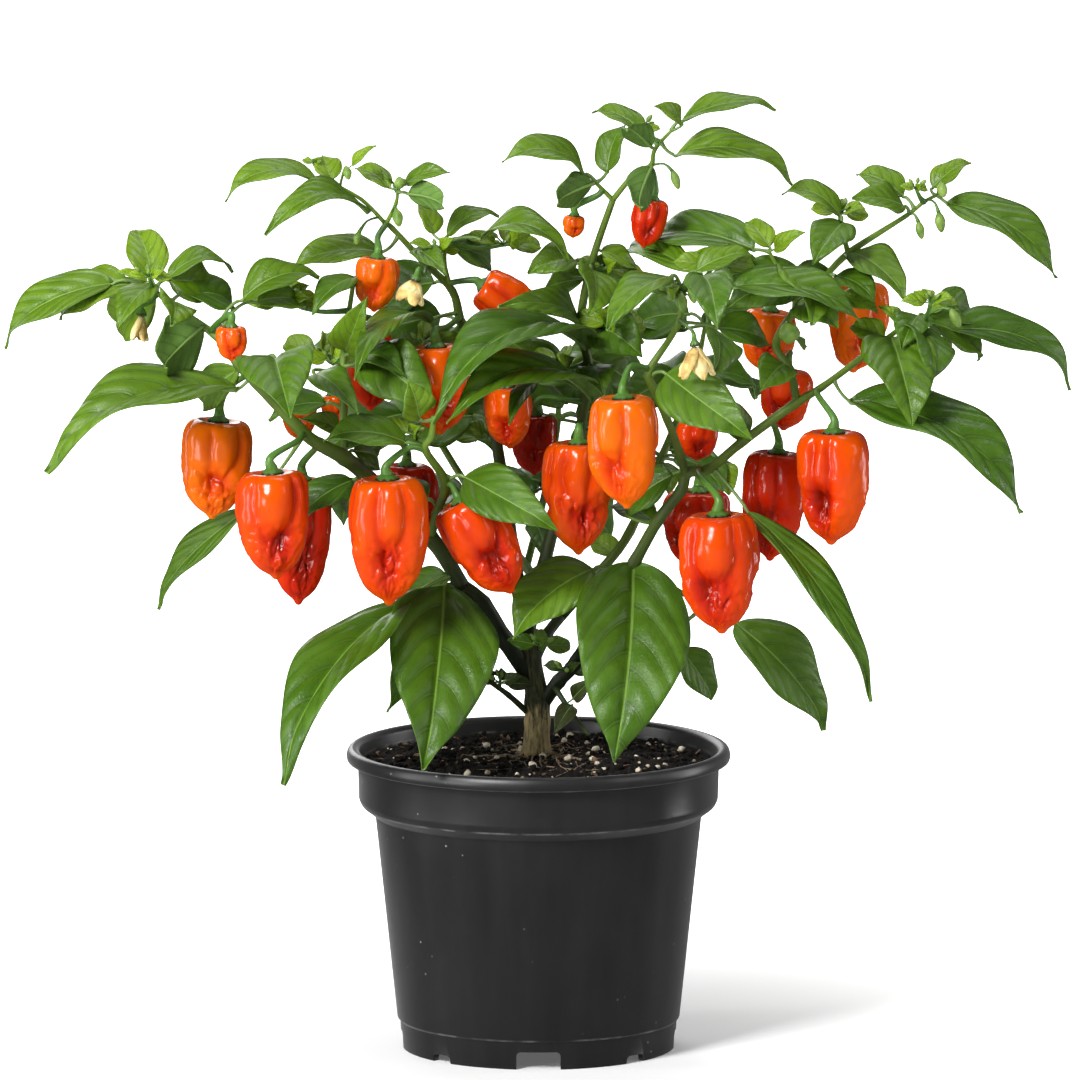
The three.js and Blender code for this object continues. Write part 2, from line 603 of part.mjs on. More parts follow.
// A withered flower: a crumpled little bell.
function flowerShape(top, tip, width, seed) {
  const up = top.clone().sub(tip);
  const length = up.length();
  up.divideScalar(length);
  const [throat, mouth] = [flowerThroat * width, flowerMouth * width];
  const bell = new THREE.CylinderGeometry(throat, mouth, length, flowerSides, flowerRings);
  moved(bell, (v) => {
    const share = 0.5 - v.y / length;
    const pinch = 1 - flowerPinch * share ** 3 + flowerBelly * share * (1 - share);
    const turn = Math.atan2(v.z, v.x) / (2 * Math.PI);
    const step = Math.round(turn * flowerSides + flowerSides) % flowerSides;
    const ring = Math.round(flowerRings * share);
    const crumple = 1 + flowerCrumple * (scatter(seed + step + ring * (flowerSides + 2)) - 0.5);
    v.x *= pinch * crumple;
    v.z *= pinch * crumple;
    v.y -= length / 2;
  });
  bell.applyQuaternion(new THREE.Quaternion().setFromUnitVectors(new THREE.Vector3(0, 1, 0), up));
  bell.translate(top.x, top.y, top.z);
  return solid(bell);
}

function notches({ width, height, first }) {
  return Array.from({ length: notchCount }, (_, i) => {
    const block = new THREE.BoxGeometry(width, cutDepth, 2 * height);
    block.translate(0, -footRadius, 0);
    block.rotateZ(first + (i * 2 * Math.PI) / notchCount);
    return solid(block);
  });
}

function drains() {
  return Array.from({ length: notchCount }, (_, i) => {
    const hole = new THREE.CylinderGeometry(drainRadius, drainRadius, cutDepth, drainSides);
    hole.rotateX(Math.PI / 2);
    hole.translate(0, -drainRing, potFloor);
    hole.rotateZ(Math.PI / 4 + (i * 2 * Math.PI) / notchCount);
    return solid(hole);
  });
}

function turnedSolid(profile, sides, relief) {
  const shape = new THREE.LatheGeometry(profile.map(([r, z]) => new THREE.Vector2(r, z)), sides);
  shape.rotateX(Math.PI / 2);
  return solid(relief ? moved(shape, relief) : shape);
}

function pot() {
  const cuts = [...notches(wideNotch), ...notches(smallNotch), ...drains()];
  return turnedSolid(potProfile, potSides).subtract(wasm.Manifold.union(cuts));
}

function soil() {
  const crumbs = (v) => {
    const radius = Math.hypot(v.x, v.y);
    if (v.z > crumbsAbove && radius > 1) {
      v.z += soilRelief * (scatter(Math.round(v.x) * 3.7 + Math.round(v.y) * 1.9) - 0.5);
    }
  };
  const hole = new THREE.CylinderGeometry(trunkHole, trunkHole, 2 * cutDepth, holeSides);
  hole.rotateX(Math.PI / 2);
  hole.translate(trunkRight, 0, trunkBottom - gap + cutDepth);
  return turnedSolid([...soilSide, ...soilTop], potSides, crumbs).subtract(solid(hole));
}

// Every piece of one stem: its wood, leaves, buds, calyxes and stalks.
function stemPieces(name) {
  const { paths, leaves, buds } = stems[name];
  const pieces = paths.map((path) => tube(path.map(seen), path.map((p) => p[3]), stemSides(path)));
  leaves.forEach((row, i) => pieces.push(leaf(paths, row, scatter(i + paths.length))));
  buds.forEach((row) => pieces.push(bud(paths, row)));
  if (name === "stem_back") backRows(paths).forEach((row) => pieces.push(backLeaf(row)));
  pods.filter((row) => row[0] === name).forEach((row) => {
    const top = seen(row.slice(1, 4));
    const down = seen(row.slice(4, 7)).sub(top).normalize();
    pieces.push(calyx(paths, top, down, calyxLeast + (calyxShare * row[7]) / 2, row.slice(9), stalkRadius));
  });
  flowers.filter((row) => row[0] === name).forEach((row) => {
    const top = seen(row.slice(1, 4));
    const down = seen([row[4], row[5], row[3]]).sub(top).normalize();
    pieces.push(calyx(paths, top, down, flowerCalyx, row.slice(7), flowerStalk));
  });
  return pieces;
}

function stemBody(name) {
  const { parent } = stems[name];
  const fused = wasm.Manifold.union(stemPieces(name));
  const cut = parent ? fused.subtract(wasm.Manifold.union(stems[parent].paths.map(tubeRoom))) : fused;
  const shells = cut.decompose();
  return wasm.Manifold.compose(shells.filter((shell) => shell.volume() > 0));
}

function podBody([, ...row], i) {
  const top = seen(row.slice(0, 3));
  const tip = seen(row.slice(3, 6));
  const down = tip.clone().sub(top).normalize();
  return podShape(top.addScaledVector(down, gap), tip, row[6], row[7], i + 1);
}

function flowerBody([, right, up, depth, tipRight, tipUp, width], i) {
  const top = seen([right, up, depth]);
  const tip = seen([tipRight, tipUp, depth]);
  const down = tip.clone().sub(top).normalize();
  return flowerShape(top.addScaledVector(down, gap), tip, width, i + flowerSeed);
}

function mesh(name, body, colour, roughness) {
  const { vertProperties, triVerts } = body.getMesh();
  const geometry = new THREE.BufferGeometry();
  geometry.setAttribute("position", new THREE.BufferAttribute(vertProperties, 3));
  geometry.setIndex(new THREE.BufferAttribute(triVerts, 1));
  geometry.computeVertexNormals();
  const made = new THREE.Mesh(geometry, new THREE.MeshStandardMaterial({ color: colour, roughness }));
  made.name = name;
  return made;
}

const number = (i) => String(i + 1).padStart(2, "0");
const plant = new THREE.Group();
plant.name = "potted_chilli_plant";
plant.add(mesh("pot", pot(), potBlack, 0.55));
plant.add(mesh("soil", soil(), soilBrown, 0.95));
for (const name of Object.keys(stems)) plant.add(mesh(name, stemBody(name), leafGreen, 0.5));
pods.forEach((row, i) => plant.add(mesh(`pod_${number(i)}`, podBody(row, i), podRed, 0.25)));
flowers.forEach((row, i) => {
  plant.add(mesh(`withered_flower_${number(i)}`, flowerBody(row, i), petalCream, 0.8));
});

// The plant's own box is centred over the origin.
const box = new THREE.Box3().setFromObject(plant, true);
plant.position.set(-(box.min.x + box.max.x) / 2, -(box.min.y + box.max.y) / 2, 0);

export default plant;
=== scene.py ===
"""Potted chilli pepper plant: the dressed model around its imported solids, in metres."""

import math

import bmesh
import bpy
from bpy.props import FloatProperty, FloatVectorProperty, IntProperty, PointerProperty
from mathutils import Matrix, Quaternion, Vector, noise


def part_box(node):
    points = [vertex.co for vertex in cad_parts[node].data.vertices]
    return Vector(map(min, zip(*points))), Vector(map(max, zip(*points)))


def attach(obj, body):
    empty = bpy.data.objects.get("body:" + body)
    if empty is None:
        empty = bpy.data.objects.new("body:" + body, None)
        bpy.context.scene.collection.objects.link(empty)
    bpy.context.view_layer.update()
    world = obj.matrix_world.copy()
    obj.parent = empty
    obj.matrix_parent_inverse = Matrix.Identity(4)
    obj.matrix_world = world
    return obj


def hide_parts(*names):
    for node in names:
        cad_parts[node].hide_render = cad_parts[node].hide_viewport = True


bl_info = {
    "name": "Potted chilli plant",
    "version": (1, 0, 0),
    "blender": (4, 5, 0),
    "location": "3D Viewport > Sidebar > Chilli plant",
    "description": "Models a chilli pepper plant in its nursery pot, with its leaves, pods and soil",
    "category": "Object",
}

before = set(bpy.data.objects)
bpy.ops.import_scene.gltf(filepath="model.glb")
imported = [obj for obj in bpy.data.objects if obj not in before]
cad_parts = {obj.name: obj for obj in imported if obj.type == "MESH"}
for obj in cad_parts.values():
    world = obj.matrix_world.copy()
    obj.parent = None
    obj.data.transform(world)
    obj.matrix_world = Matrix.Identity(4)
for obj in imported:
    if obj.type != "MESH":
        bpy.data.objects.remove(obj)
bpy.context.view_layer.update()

# Places on the plant are in millimetres from the foot of the pot's axis, X to the right, Y to the back.
# In the tables they are written (right, up, depth) as they look from the front, from a little above.
# Depths in front of the trunk are written closer than they are, by the share FRONT_SPREAD.
MM = 0.001
VIEW_TILT = math.radians(9)
VIEWER = Vector((0, -math.cos(VIEW_TILT), math.sin(VIEW_TILT)))
FRONT_SPREAD = 1.5
pot_low, pot_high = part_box("pot")
AXIS = Vector(((pot_low.x + pot_high.x) / 2, (pot_low.y + pot_high.y) / 2, 0))
IN_ROW = Matrix.Translation(AXIS) @ Matrix.Scale(MM, 4)

# Pot: its section as (radius, height), its notches and its drain holes.
FOOT_RADIUS = 68.6
WIDE_NOTCH = {"width": 22, "height": 9, "first": 0}
SMALL_NOTCH = {"width": 12, "height": 4, "first": 45}
NOTCH_COUNT = 4
NOTCH_ROUNDING = 2.2
DRAIN_RADIUS = 5
DRAIN_RING = 40
CUT_DEPTH = 30
POT_FLOOR = 10
POT_PROFILE = [
    (0, 8), (64, 8), (65, 0), (FOOT_RADIUS, 0), (69.4, 14), (70.8, 15), (81.8, 118), (88.6, 123),
    (90, 126), (90.5, 144.5), (95.6, 145.2), (96.5, 148), (95, 152), (91.5, 152),
    (89.6, 150), (88.4, 126.5), (80, 120.5), (67, POT_FLOOR), (0, POT_FLOOR),
]
POT_STEPS = 128
RIM_ABOVE = 146
RIM_OUTSIDE = 90
CORNER_ANGLE = math.radians(14)
CORNER_ROUNDING = 0.7
SHARP_ANGLE = math.radians(35)
SEAM_HEIGHTS = (14.7, 122.5, 144.7)

# Soil.
SOIL_RADIUS = 88.8
SOIL_SIDE = [(0, 10.4), (65.4, 10.4), (79.4, 121), (87.9, 127.2), (SOIL_RADIUS, 143.5)]
SOIL_TOP = [(SOIL_RADIUS, 143.5), (74, 144.8), (56, 145.8), (38, 147), (20, 148), (0, 148.6)]
SOIL_RINGS = 64
SOIL_STEPS = 240
LUMPS_ABOVE = 143.4
STREWN_REACH = 86
TRUNK_CLEARANCE = 9
TRUNK_FOOT = Vector((-1, 0, 147))
ROOT_COUNT = 44

# Leaves and their stalks.
BLADE_FOLD = 0.34
BLADE_CURL = 0.12
BLADE_RIPPLE = 0.06
BLADE_DROOP = 0.05
BLADE_SLIMMEST = 0.012
VEIN_ARCH = 0.4
PETIOLE_RADIUS = 1
FOOT_INSET = 1.4

# Pods: share of the half width, share of the length below the calyx.
POD_PROFILE = [
    (0, 0.035), (0.2, 0.028), (0.42, 0.01), (0.58, 0.006), (0.72, 0.026), (0.83, 0.06), (0.91, 0.1),
    (0.965, 0.155), (0.99, 0.22), (1.0, 0.31), (1.0, 0.42), (0.985, 0.51), (0.945, 0.59),
    (0.885, 0.665), (0.8, 0.735), (0.69, 0.8), (0.565, 0.855), (0.42, 0.9), (0.27, 0.933),
    (0.17, 0.955), (0.12, 0.975), (0.07, 0.993), (0, 1),
]
# Calyx: share of its radius, share of its height above the pod's top.
CALYX_PROFILE = [
    (0, 1.15), (0.3, 1.12), (0.52, 0.95), (0.74, 0.6), (0.93, 0.26), (1.05, 0.02), (1.08, -0.12),
    (1.0, -0.3), (0.8, -0.34), (0.4, -0.34), (0, -0.34),
]
CALYX_HEIGHT = 2.6
STALK_RADIUS = 1.55
POD_CALYX_RADIUS = 1.5
POD_CALYX_SHARE = 0.095
FLOWER_STALK_RADIUS = 0.8
FLOWER_CALYX_RADIUS = 2.4
PETAL_COUNT = 5
PETAL_THICKNESS = 0.4
TWIG_BUDS = 4

# Places of the finishes on a bough's wood.
GREEN, BARK, STALKS, BUD_SKIN, PETIOLES = range(5)

# Stems of each bough, as paths of (right, up, depth, radius).
PATHS = {
    "trunk": [
        [(-1, 118, 0, 7.1), (-1, 147, 0, 7.2), (-1, 173, 0, 6.6), (-4, 194, 1, 6.1), (-6, 207, 2, 5.4)],
        [(-5, 186, 0, 5), (-17, 204, -3, 4.9), (-28, 222, -6, 4.8), (-38, 230, -8, 4.8)],
        [(2, 172, 0, 4.2), (10, 183, -3, 4), (19, 193, -6, 3.9), (33, 217, -11, 3.8)],
        [(-6, 205, 2, 4.4), (-11, 235, 9, 4), (-16, 272, 16, 3.8)],
        [(-6, 205, 2, 4.2), (2, 238, 8, 3.8), (8, 262, 12, 3.6)],
        [(-2, 194, 2, 3.4), (4, 206, 8, 3.2), (11, 215, 14, 3.1)],
        [(-3, 165, 0, 2), (-15, 176, -6, 1.6), (-26, 184, -12, 1.4)],
        [(-8, 182, -1, 1.6), (-25, 188, -5, 1.1)],
        [(8, 180, -4, 1.8), (18, 165, -10, 1.4), (25, 156, -12, 1.1)],
    ],
    "stem_left": [
        [(-38, 230, -8, 4.5), (-54, 255, -13, 4.4), (-84, 284, -24, 4.2), (-96, 294, -30, 4.4),
         (-109, 301, -34, 3.7), (-118, 308, -36, 3.5), (-140, 331, -38, 2.9), (-149, 341, -38, 3),
         (-159, 354, -36, 2.4), (-183, 371, -30, 1.6), (-191, 378, -28, 1.3)],
        [(-54, 255, -13, 2.8), (-50, 269, -26, 2.4), (-46, 282, -36, 2.6), (-56, 298, -46, 2.1),
         (-53, 305, -48, 2), (-52, 315, -50, 1.4)],
        [(-97, 295, -29, 2.4), (-97, 318, -27, 2), (-97, 345, -22, 1.8), (-92, 382, -16, 1.3)],
    ],
    "stem_upper_left": [
        [(-16, 272, 16, 3.6), (-22, 310, 24, 3.2), (-27, 351, 24, 2.8), (-38, 361, 20, 2.8),
         (-43, 378, 14, 2.2), (-58, 393, 6, 1.9), (-73, 409, 0, 1.5), (-77, 412, -2, 1.5)],
        [(-77, 412, -2, 1.3), (-88, 423, -6, 1.1), (-102, 431, -8, 0.9)],
        [(-76, 411, -2, 1.3), (-71, 421, -6, 1.1), (-70, 429, -8, 0.9)],
        [(-44, 379, 13, 1.6), (-47, 393, 6, 1.3), (-45, 404, 0, 1)],
    ],
    "stem_top": [
        [(8, 262, 12, 3.4), (20, 305, 16, 3), (25, 340, 12, 2.8), (21, 360, 9, 2.6), (26, 390, 4, 2.2),
         (37, 423, -4, 1.9)],
        [(37, 423, -4, 1.5), (27, 433, -6, 1.1)],
        [(37, 423, -4, 1.7), (48, 436, -8, 1.5), (56, 440, -10, 1.5), (58, 448, -12, 1.2),
         (67, 458, -14, 0.9)],
    ],
    "stem_right": [
        [(33, 217, -11, 3.6), (48, 243, -18, 3.4), (60, 264, -25, 3.2), (71, 278, -29, 3.2),
         (74, 287, -30, 3.4), (85, 289, -33, 2.8), (101, 302, -38, 2.6), (127, 321, -40, 2.6),
         (140, 329, -38, 2), (163, 346, -32, 1.8), (183, 361, -24, 1.3), (192, 364, -20, 1.1)],
        [(48, 243, -18, 1.8), (70, 228, -15, 1.5), (96, 213, -12, 1.2)],
    ],
    "stem_mid_right": [
        [(73, 286, -30, 2.6), (70, 297, -36, 2.4), (64, 313, -43, 2.2), (56, 331, -48, 2.3),
         (55, 338, -49, 2.2), (69, 360, -46, 1.7), (71, 378, -45, 1.4)],
    ],
    "stem_upper_right": [
        [(128, 322, -40, 2.4), (125, 338, -38, 2.2), (118, 351, -32, 2.3), (129, 370, -24, 2),
         (142, 384, -16, 1.8), (155, 397, -10, 2), (183, 415, -4, 1.3), (192, 422, -4, 1.1),
         (200, 426, -4, 0.9)],
        [(154, 397, -10, 1.7), (151, 408, -12, 1.4), (150, 412, -12, 1.2)],
        [(129, 370, -24, 1.5), (121, 385, -22, 1.3), (114, 398, -22, 1)],
    ],
    "stem_back": [
        [(11, 215, 14, 3), (31, 238, 20, 2.8), (46, 258, 28, 2.6), (62, 295, 54, 2.2), (78, 335, 76, 1.8),
         (84, 362, 86, 1.2)],
        [(11, 215, 14, 2.6), (-6, 240, 42, 2.6), (-32, 275, 64, 2.2), (-56, 315, 80, 1.8),
         (-68, 350, 86, 1.2)],
        [(-6, 240, 42, 2.2), (4, 280, 92, 2), (10, 315, 120, 1.6), (8, 345, 132, 1.2)],
    ],
}

# Leaves of each bough: (base right, up, tip right, up, depth, width, turn in degrees, arch).
LEAVES = {
    "trunk": [
        (-26, 184, -36, 193, -20, 6, 40, 0.1), (17, 171, 8, 157, -22, 10, 10, 0.1),
        (17, 174, 27, 184, -16, 9, 20, 0.1),
    ],
    "stem_left": [
        (-212, 381, -269, 350, -20, 28, 50, 0.16), (-192, 383, -201, 410, -8, 21, 15, 0.1),
        (-192, 380, -209, 359, -48, 18, 35, 0.12), (-184, 384, -151, 388, -14, 16, 60, 0.26),
        (-194, 382, -210, 387, -32, 6, 40, 0.1), (-166, 360, -187, 338, -56, 30, 150, 0.1),
        (-150, 328, -247, 289, -58, 44, 60, 0.17), (-149, 338, -168, 319, -8, 20, 25, 0.1),
        (-147, 373, -108, 385, -26, 24, 50, 0.2), (-130, 343, -122, 315, -96, 38, 5, 0.16),
        (-111, 336, -89, 317, -60, 18, 30, 0.14), (-66, 302, -107, 304, -58, 22, 45, 0.12),
        (-99, 307, -117, 314, -52, 12, 30, 0.1), (-146, 268, -194, 219, 12, 20, 50, 0.08),
        (-66, 221, -130, 135, -84, 42, 48, 0.12), (-47, 231, -56, 141, -66, 55, 12, 0.08),
        (-69, 213, -74, 167, -28, 22, 50, 0.1), (-46, 236, -68, 223, 8, 18, 30, 0.1),
        (-59, 314, -64, 332, -58, 18, 20, 0.1), (-37, 285, 9, 259, -66, 27, 10, 0.1),
        (-92, 384, -113, 366, -34, 16, 40, 0.14), (-96, 347, -86, 373, -44, 20, 10, 0.12),
        (-91, 340, -65, 335, -40, 20, 45, 0.3), (-97, 300, -74, 313, -8, 18, 40, 0.1),
        (-88, 284, -95, 266, 20, 16, 30, 0.1), (-140, 372, -114, 369, -20, 18, 45, 0.2),
    ],
    "stem_upper_left": [
        (-110, 432, -158, 423, -14, 20, 58, 0.22), (-103, 433, -108, 446, 6, 14, 20, 0.1),
        (-85, 417, -137, 406, -30, 22, 52, 0.26), (-93, 440, -81, 450, -16, 6, 40, 0.1),
        (-74, 429, -92, 440, 4, 12, 40, 0.1), (-66, 431, -44, 437, -16, 12, 45, 0.12),
        (-65, 426, -46, 419, -26, 15, 150, 0.1), (-52, 406, -60, 423, 12, 13, 40, 0.1),
        (-46, 405, -19, 416, 8, 14, 50, 0.24), (-29, 404, 17, 393, -16, 22, 55, 0.3),
        (-79, 397, -125, 389, -6, 20, 45, 0.12), (-54, 363, -92, 336, -58, 20, 52, 0.14),
        (-43, 400, -23, 389, 42, 18, 40, 0.12), (-30, 352, -62, 345, 30, 20, 40, 0.1),
        (-62, 399, -46, 386, -14, 14, 35, 0.1),
    ],
    "stem_top": [
        (24, 349, -56, 315, -60, 42, 56, 0.22), (27, 324, -45, 316, -60, 34, 58, 0.16),
        (-3, 331, -15, 312, -44, 11, 30, 0.1), (21, 360, -18, 371, -40, 21, 42, 0.12),
        (23, 436, -19, 443, -20, 22, 55, 0.22), (27, 431, 8, 421, -22, 18, 145, 0.1),
        (34, 437, 43, 462, 6, 18, 45, 0.1), (53, 455, 26, 468, 0, 14, 50, 0.14),
        (56, 449, 43, 458, -34, 14, 150, 0.1), (71, 461, 58, 469, -30, 11, 40, 0.1),
        (71, 462, 119, 469, -12, 17, 58, 0.14), (68, 445, 129, 432, -18, 25, 55, 0.2),
        (56, 439, 50, 417, -34, 17, 145, 0.1), (28, 386, 52, 377, 26, 18, 35, 0.1),
        (23, 384, 1, 378, 24, 16, 35, 0.1), (31, 398, 50, 389, 12, 12, 40, 0.1),
        (26, 344, 48, 330, 26, 22, 35, 0.1), (18, 332, -8, 340, 32, 20, 40, 0.1),
    ],
    "stem_right": [
        (194, 367, 207, 375, -14, 9, 30, 0.1), (203, 358, 270, 330, 6, 30, 58, 0.16),
        (175, 354, 186, 310, -64, 37, 15, 0.14), (155, 322, 243, 269, -58, 46, 56, 0.14),
        (181, 362, 169, 370, -22, 8, 40, 0.1), (172, 354, 154, 360, -24, 14, 30, 0.1),
        (27, 239, -14, 205, -34, 34, 35, 0.1), (47, 241, 38, 144, -62, 58, 8, 0.08),
        (71, 199, 88, 173, -6, 20, 30, 0.1), (98, 212, 145, 158, -8, 36, 38, 0.12),
        (104, 268, 168, 175, -78, 22, 45, 0.1), (100, 303, 92, 322, -14, 16, 25, 0.1),
        (58, 262, 36, 272, -2, 16, 30, 0.1),
    ],
    "stem_mid_right": [
        (76, 387, 41, 397, 46, 16, 40, 0.1), (65, 384, 33, 358, -74, 22, 45, 0.12),
        (81, 384, 88, 358, -84, 24, 10, 0.16), (78, 387, 107, 396, -40, 16, 45, 0.14),
        (97, 379, 162, 364, -46, 30, 56, 0.12), (89, 359, 116, 351, -21, 20, 40, 0.1),
        (63, 336, 105, 304, -80, 31, 5, 0.1),
    ],
    "stem_upper_right": [
        (107, 398, 49, 399, 24, 30, 55, 0.16), (150, 415, 120, 427, -8, 16, 50, 0.22),
        (151, 411, 136, 391, -34, 22, 20, 0.1), (182, 420, 156, 424, -16, 18, 40, 0.1),
        (182, 425, 158, 437, 8, 17, 42, 0.12), (196, 429, 216, 443, 4, 14, 45, 0.12),
        (204, 421, 260, 385, -14, 30, 50, 0.14), (156, 397, 183, 374, -30, 24, 40, 0.12),
        (150, 376, 169, 367, -22, 14, 40, 0.1), (141, 382, 131, 362, 2, 18, 25, 0.1),
        (115, 399, 103, 413, -10, 13, 25, 0.1), (117, 398, 132, 407, -30, 10, 35, 0.1),
        (122, 341, 110, 328, -54, 20, 15, 0.1),
    ],
    "stem_back": [
        (-92, 284, -99, 261, 34, 19, 30, 0.1), (38, 246, 26, 254, 34, 14, 30, 0.1),
        (-2, 262, 4, 243, 38, 15, 20, 0.1), (62, 292, 66, 276, 34, 14, 20, 0.1),
        (90, 292, 96, 276, 40, 16, 20, 0.1),
    ],
}

# Flower buds of each bough: (right, up, depth, length, width).
BUDS = {
    "stem_upper_left": [
        (-70, 414, -10, 8, 6), (-69, 431, -14, 6, 6), (-95, 436, -14, 6, 5), (-90, 404, -10, 6, 5),
    ],
    "stem_top": [
        (68, 433, -12, 9, 5),
    ],
    "stem_right": [
        (207, 364, -24, 9, 6), (203, 351, -22, 8, 6),
    ],
    "stem_mid_right": [
        (66, 377, -50, 9, 6), (71, 371, -52, 9, 6), (76, 375, -50, 8, 5),
    ],
    "stem_upper_right": [
        (190, 408, -8, 8, 5), (200, 412, -8, 9, 6), (201, 428, -10, 7, 6), (124, 356, -44, 11, 11),
    ],
}

# Leaves on the bough at the back, in pairs that face away from the front.
BACK_LEAVES = {
    "per_node": 2, "length": 62, "length_vary": 12, "width": 32, "droop": 0.25, "spin": 2.4,
    "turn_away": 70, "arch": 0.12, "from": 50,
}
# Inner leaves along the stems, between two heights and not in front of the rest.
INNER_LEAVES = {
    "per_node": 3, "length": 43, "vary": 11, "droop": 0.7, "front": -30, "low": 268, "high": 392,
    "arch": 0.14,
}
# Sprigs of small young leaves: (stem, right, up, depth, number of leaves, length of the longest).
SPRIGS = [
    ("stem_left", -126, 372, -18, 6, 24), ("stem_left", -193, 384, -40, 4, 12),
    ("stem_left", -103, 343, -14, 4, 18), ("stem_left", -108, 346, 14, 4, 28),
    ("stem_upper_left", -51, 399, -2, 3, 17), ("stem_upper_left", -72, 431, -4, 3, 9),
    ("stem_upper_left", -17, 401, 17, 4, 24), ("stem_upper_left", -112, 441, 0, 3, 9),
    ("stem_upper_left", -58, 352, 2, 4, 26), ("stem_left", -62, 306, -30, 4, 22),
    ("stem_top", 37, 361, -6, 5, 24), ("stem_top", 33, 389, 8, 4, 20), ("stem_top", 52, 459, -6, 3, 9),
    ("stem_mid_right", 88, 390, -34, 6, 24), ("stem_mid_right", 66, 375, -50, 4, 14),
    ("stem_upper_right", 150, 416, -8, 5, 19), ("stem_upper_right", 188, 428, -10, 3, 10),
    ("stem_right", 194, 371, -50, 5, 17), ("stem_upper_left", -25, 304, 34, 5, 26),
    ("stem_left", -40, 262, -14, 3, 20), ("stem_top", 12, 340, 20, 4, 26), ("trunk", 1, 201, -12, 4, 19),
    ("trunk", -19, 182, -7, 4, 17), ("trunk", 14, 188, -6, 3, 15),
]
SPRIG_TURN = math.radians(137.5)
SPRIG_ARCH = 0.12

# Pods: (stem, calyx right, up, depth, tip right, up, width, stalk right, up, ripeness), where the
# ripeness runs from 0, orange, to 1, dark red.
PODS = [
    ("stem_left", -159, 313, -20, -163, 264, 38, -154, 327, 0.14),
    ("stem_left", -132, 287, -52, -130, 234, 39, -119, 305, 0.45),
    ("stem_left", -118, 284, -8, -120, 221, 34, -111, 296, 0.7),
    ("stem_left", -75, 284, -52, -74, 221, 42, -64, 300, 0.42),
    ("stem_left", -66, 291, 10, -66, 245, 32, -70, 300, 0.74),
    ("stem_left", -39, 273, -40, -13, 227, 37, -43, 281, 0.52),
    ("stem_top", 20, 302, -25, 20, 246, 36, 20, 312, 0.38),
    ("stem_mid_right", 42, 324, -62, 44, 269, 38, 46, 341, 0.2),
    ("stem_right", 89, 266, -56, 91, 207, 42, 80, 288, 0.5),
    ("stem_right", 80, 278, 2, 79, 238, 36, 80, 286, 0.7),
    ("stem_right", 119, 297, -27, 115, 243, 34, 117, 309, 0.72),
    ("stem_right", 146, 307, -52, 145, 251, 39, 139, 326, 0.45),
    ("stem_upper_right", 161, 382, 5, 157, 337, 33, 158, 394, 0.22),
    ("stem_upper_right", 116, 368, 4, 113, 337, 29, 117, 376, 0.25),
    ("stem_upper_right", 124, 338, -15, 122, 308, 27, 125, 344, 0.55),
    ("stem_mid_right", 80, 314, -8, 79, 293, 23, 74, 322, 0.6),
    ("stem_upper_left", -28, 381, 10, 4, 361, 26, -39, 383, 0.42),
    ("stem_upper_left", -80, 394, -14, -82, 367, 23, -80, 406, 0.2),
    ("stem_left", -152, 359, -54, -152, 342, 17, -158, 364, 0.3),
    ("stem_top", 18, 415, -5, 17, 404, 12, 29, 425, 0.2),
    ("stem_top", 57, 423, -10, 52, 399, 19, 57, 436, 0.62),
    ("stem_left", -120, 328, -8, -119, 303, 20, -126, 333, 0.25),
    ("stem_left", -103, 326, -2, -101, 309, 14, -99, 332, 0.3),
    ("stem_left", -84, 357, 4, -84, 318, 26, -90, 362, 0.6),
    ("stem_upper_left", -51, 350, -16, -49, 306, 36, -46, 363, 0.32),
    ("stem_upper_left", -16, 330, -6, -14, 299, 26, -20, 342, 0.36),
    ("stem_top", -2, 316, 14, -2, 286, 25, 3, 325, 0.85),
]

# Withered flowers: (stem, calyx right, up, depth, tip right, up, width, stalk right, up).
FLOWERS = [
    ("stem_left", -197, 366, -30, -198, 352, 8, -192, 372),
    ("stem_upper_left", -61, 383, -35, -65, 371, 14, -57, 390),
    ("stem_mid_right", 77, 350, -74, 79, 333, 15, 74, 362),
]

# Studio, in metres from the middle of the picture: (place, (width, height), watts) of each lamp.
PICTURE_MIDDLE = AXIS + Vector((0.00075, 0, 0.2567))
SENSOR = 36
FLOOR_REACH = 40
LAMPS = {
    "key": ((-1.3, -1.9, 1.5), (0.7, 0.9), 88),
    "front": ((-1.8, -1.7, -0.1), (0.7, 1.0), 26),
    "fill": ((1.9, -1.1, 0.9), (0.6, 1.3), 7),
    "left wall": ((-2.4, -0.4, 0.2), (0.5, 1.8), 20),
    "right wall": ((2.3, 0.5, 0.0), (0.4, 1.6), 20),
    "overhead": ((0.3, 0.6, 2.0), (1.4, 1.0), 20),
    "back": ((-0.7, 2.3, 0.8), (1.2, 1.2), 14),
}


# Places and numbers

def seen(place):
    """The point that looks to be at (right, up) from the front, at that depth."""
    right, up, depth = place[:3]
    back = depth * FRONT_SPREAD if depth < 0 else depth
    return Vector((right, back, (up - back * math.sin(VIEW_TILT)) / math.cos(VIEW_TILT)))


def scatter(seed):
    """A number from 0 to 1 that looks random but is always the same for the same seed."""
    value = math.sin(seed * 127.1 + 11.7) * 43758.5453
    return value - math.floor(value)


def draws(seed, step, count):
    """Several scattered numbers, whose seeds are a step apart."""
    return [scatter(seed + step * n) for n in range(count)]


def between(low, high, share):
    return low + (high - low) * share


def smooth_step(low, high, value):
    share = min(max((value - low) / (high - low), 0), 1)
    return share * share * (3 - 2 * share)


